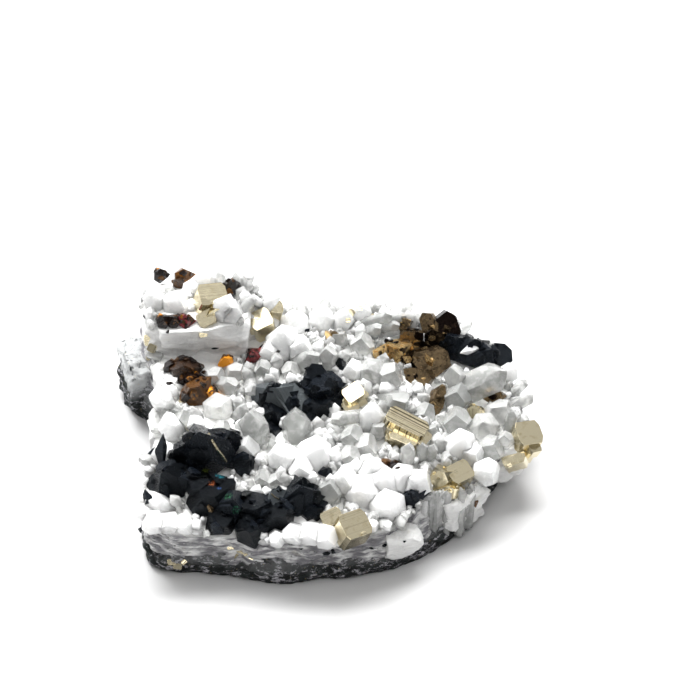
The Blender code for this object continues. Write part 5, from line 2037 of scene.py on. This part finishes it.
def light_room() -> None:
    """White to the camera; to everything else bright above and behind, dark at the front."""
    world = bpy.data.worlds.new("room")
    bpy.context.scene.world = world
    world.use_nodes = True
    tree = world.node_tree
    background = tree.nodes["Background"]
    coordinates = tree.nodes.new("ShaderNodeTexCoord")
    split = tree.nodes.new("ShaderNodeSeparateXYZ")
    tree.links.new(coordinates.outputs["Generated"], split.inputs[0])
    lean = tree.nodes.new("ShaderNodeMath")
    lean.operation = "MULTIPLY_ADD"
    tree.links.new(split.outputs["Y"], lean.inputs[0])
    lean.inputs[1].default_value = 0.45
    tree.links.new(split.outputs["Z"], lean.inputs[2])
    spread = tree.nodes.new("ShaderNodeMapRange")
    tree.links.new(lean.outputs[0], spread.inputs["Value"])
    spread.inputs["From Min"].default_value = -0.25
    spread.inputs["From Max"].default_value = 1.1
    spread.inputs["To Min"].default_value = 0.03
    spread.inputs["To Max"].default_value = 0.66
    seen = tree.nodes.new("ShaderNodeLightPath")
    choose = tree.nodes.new("ShaderNodeMix")
    tree.links.new(seen.outputs["Is Camera Ray"], choose.inputs[0])
    tree.links.new(spread.outputs[0], choose.inputs[2])
    choose.inputs[3].default_value = 1.3
    tree.links.new(choose.outputs[0], background.inputs["Strength"])
    background.inputs["Color"].default_value = rgb(1.0, 1.0, 1.0)


def lay_floor() -> None:
    """A white sheet under the specimen."""
    half = 3.0
    sheet = bpy.data.meshes.new("sheet")
    sheet.from_pydata(
        [(-half, -half, 0.0), (half, -half, 0.0), (half, half, 0.0), (-half, half, 0.0)],
        [], [(0, 1, 2, 3)],
    )
    floor = bpy.data.objects.new("sheet", sheet)
    bpy.context.scene.collection.objects.link(floor)
    paint = Paint("white_sheet")
    paint.fix(Base_Color=rgb(0.62, 0.62, 0.62), Roughness=0.9)
    sheet.materials.append(paint.material)


# The whole


def front_place(px: float, py: float) -> Array:
    """The place on the front black group that shows at a pixel.

    Of the points where the pixel's line of sight meets a hull, the one nearest the viewer.

    Args:
        px: The pixel's column.
        py: The pixel's row.

    Returns:
        The place in plan millimetres.
    """
    start = shown_at(px, py)
    best = -math.inf
    for label, hull in HULLS.items():
        if not label.startswith("sphalerite_front"):
            continue
        pace = hull.normals @ TOWARD
        room = hull.distances - hull.normals @ (start - hull.middle)
        leave = (room[pace > 1e-9] / pace[pace > 1e-9]).min()
        enter = (room[pace < -1e-9] / pace[pace < -1e-9]).max()
        if enter < leave:
            best = max(best, float(leave))
    return start + TOWARD * (best if best > -math.inf else 0.0)


@dataclass
class Specimen:
    """All the pieces of the specimen and their finishes."""

    clusters: Sequence[Cluster]
    finishes: dict[Slot, bpy.types.Material] = field(default_factory=dict)
    carriers: tuple[str, ...] = (
        "rock_plate", "host_slab", "milky_crystals", "sphalerite_front_crystals",
        "sphalerite_right_back_crystals",
        *(lump.name for lump in LUMPS)
    )

    def mix_finishes(self) -> None:
        """Make one material a slot, once the hulls are known."""
        self.finishes = {
            Slot.QUARTZ: MILKY.material(), Slot.CLEAR: CLEAR.material(), Slot.HOST: host_rock(),
            Slot.PYRITE: pyrite(), Slot.BLACK: black_sphalerite(front_place),
            Slot.BROWN: brown_sphalerite(), Slot.CHALCOPYRITE: chalcopyrite(),
        }

    def build_rock(self) -> None:
        """The plate, the dark slab under it and the broken lumps."""
        massive = massive_quartz()
        dress(Plate().build(), massive, ["quartz_matrix"])
        dress(HostSlab().build(), self.finishes[Slot.HOST], ["quartz_matrix"])
        noise = Roughness(37)
        for lump in LUMPS:
            material = self.finishes[Slot.HOST] if lump.dark else massive
            dress(lump.build(noise), material, ["quartz_matrix"])

    def build_quartz(self) -> None:
        """The crystals placed one by one, milky and clear, and the druse between them."""
        crystals = QUARTZ_CRYSTALS + fibres()
        for name, clear in (("milky_crystals", False), ("clear_crystals", True)):
            slot = Slot.CLEAR if clear else Slot.QUARTZ
            rows = [row for row in crystals if row.clear is clear]
            piece = named_crystals(rows).build(name, 4, 0.09)
            dress(piece, self.finishes[slot], ["quartz_matrix"])
        ores = [ore for cluster in self.clusters for ore in cluster.ores()]
        small = Druse().arrays(ores, named_crystals(QUARTZ_CRYSTALS))
        clear = small.tint > 0.42
        for name, keep, slot in (("milky_druse", ~clear, Slot.QUARTZ),
                                 ("clear_druse", clear, Slot.CLEAR)):
            piece = small.kept(keep).build(name, 1, 0.0)
            dress(piece, self.finishes[slot], ["quartz_matrix"])

    def build_ores(self) -> None:
        """Every group of ore crystals."""
        for cluster in self.clusters:
            piece = cluster.build()
            dress(piece, self.finishes[cluster.slot], [cluster.name])

    def build_specks(self) -> None:
        """The grains of ore set in the rock, one piece a mineral."""
        bpy.context.view_layer.update()
        carriers = [thing for thing in bpy.data.objects if thing.type == "MESH"
                    and thing.name in self.carriers]
        for slot in (Slot.QUARTZ, Slot.PYRITE, Slot.BLACK, Slot.BROWN, Slot.CHALCOPYRITE):
            hulls = [speck_hull(speck, carriers, number)
                     for number, speck in enumerate(SPECKS) if speck.slot is slot]
            hulls = [hull for hull in hulls if hull]
            for number, seam in enumerate(SEAMS):
                if seam.slot is slot:
                    hulls += seam_hulls(seam, carriers, number)
            piece = hulls_piece(f"{slot.value}_specks", hulls, 0.02)
            dress(piece, self.finishes[slot], ["quartz_matrix"])


def main() -> None:
    """Build the specimen, its stage and its light."""
    logging.basicConfig(level=logging.INFO, format="%(message)s")
    for cluster in CLUSTERS:
        HULLS.update((ore.label, ore.hull()) for ore in cluster.ores())
    specimen = Specimen(CLUSTERS)
    specimen.mix_finishes()
    specimen.build_rock()
    specimen.build_quartz()
    specimen.build_ores()
    specimen.build_specks()
    lay_floor()
    place_camera()
    light_room()
    for softbox in SOFTBOXES:
        softbox.light()
    bpy.context.scene.view_settings.view_transform = "Standard"


if __name__ == "__main__":
    main()
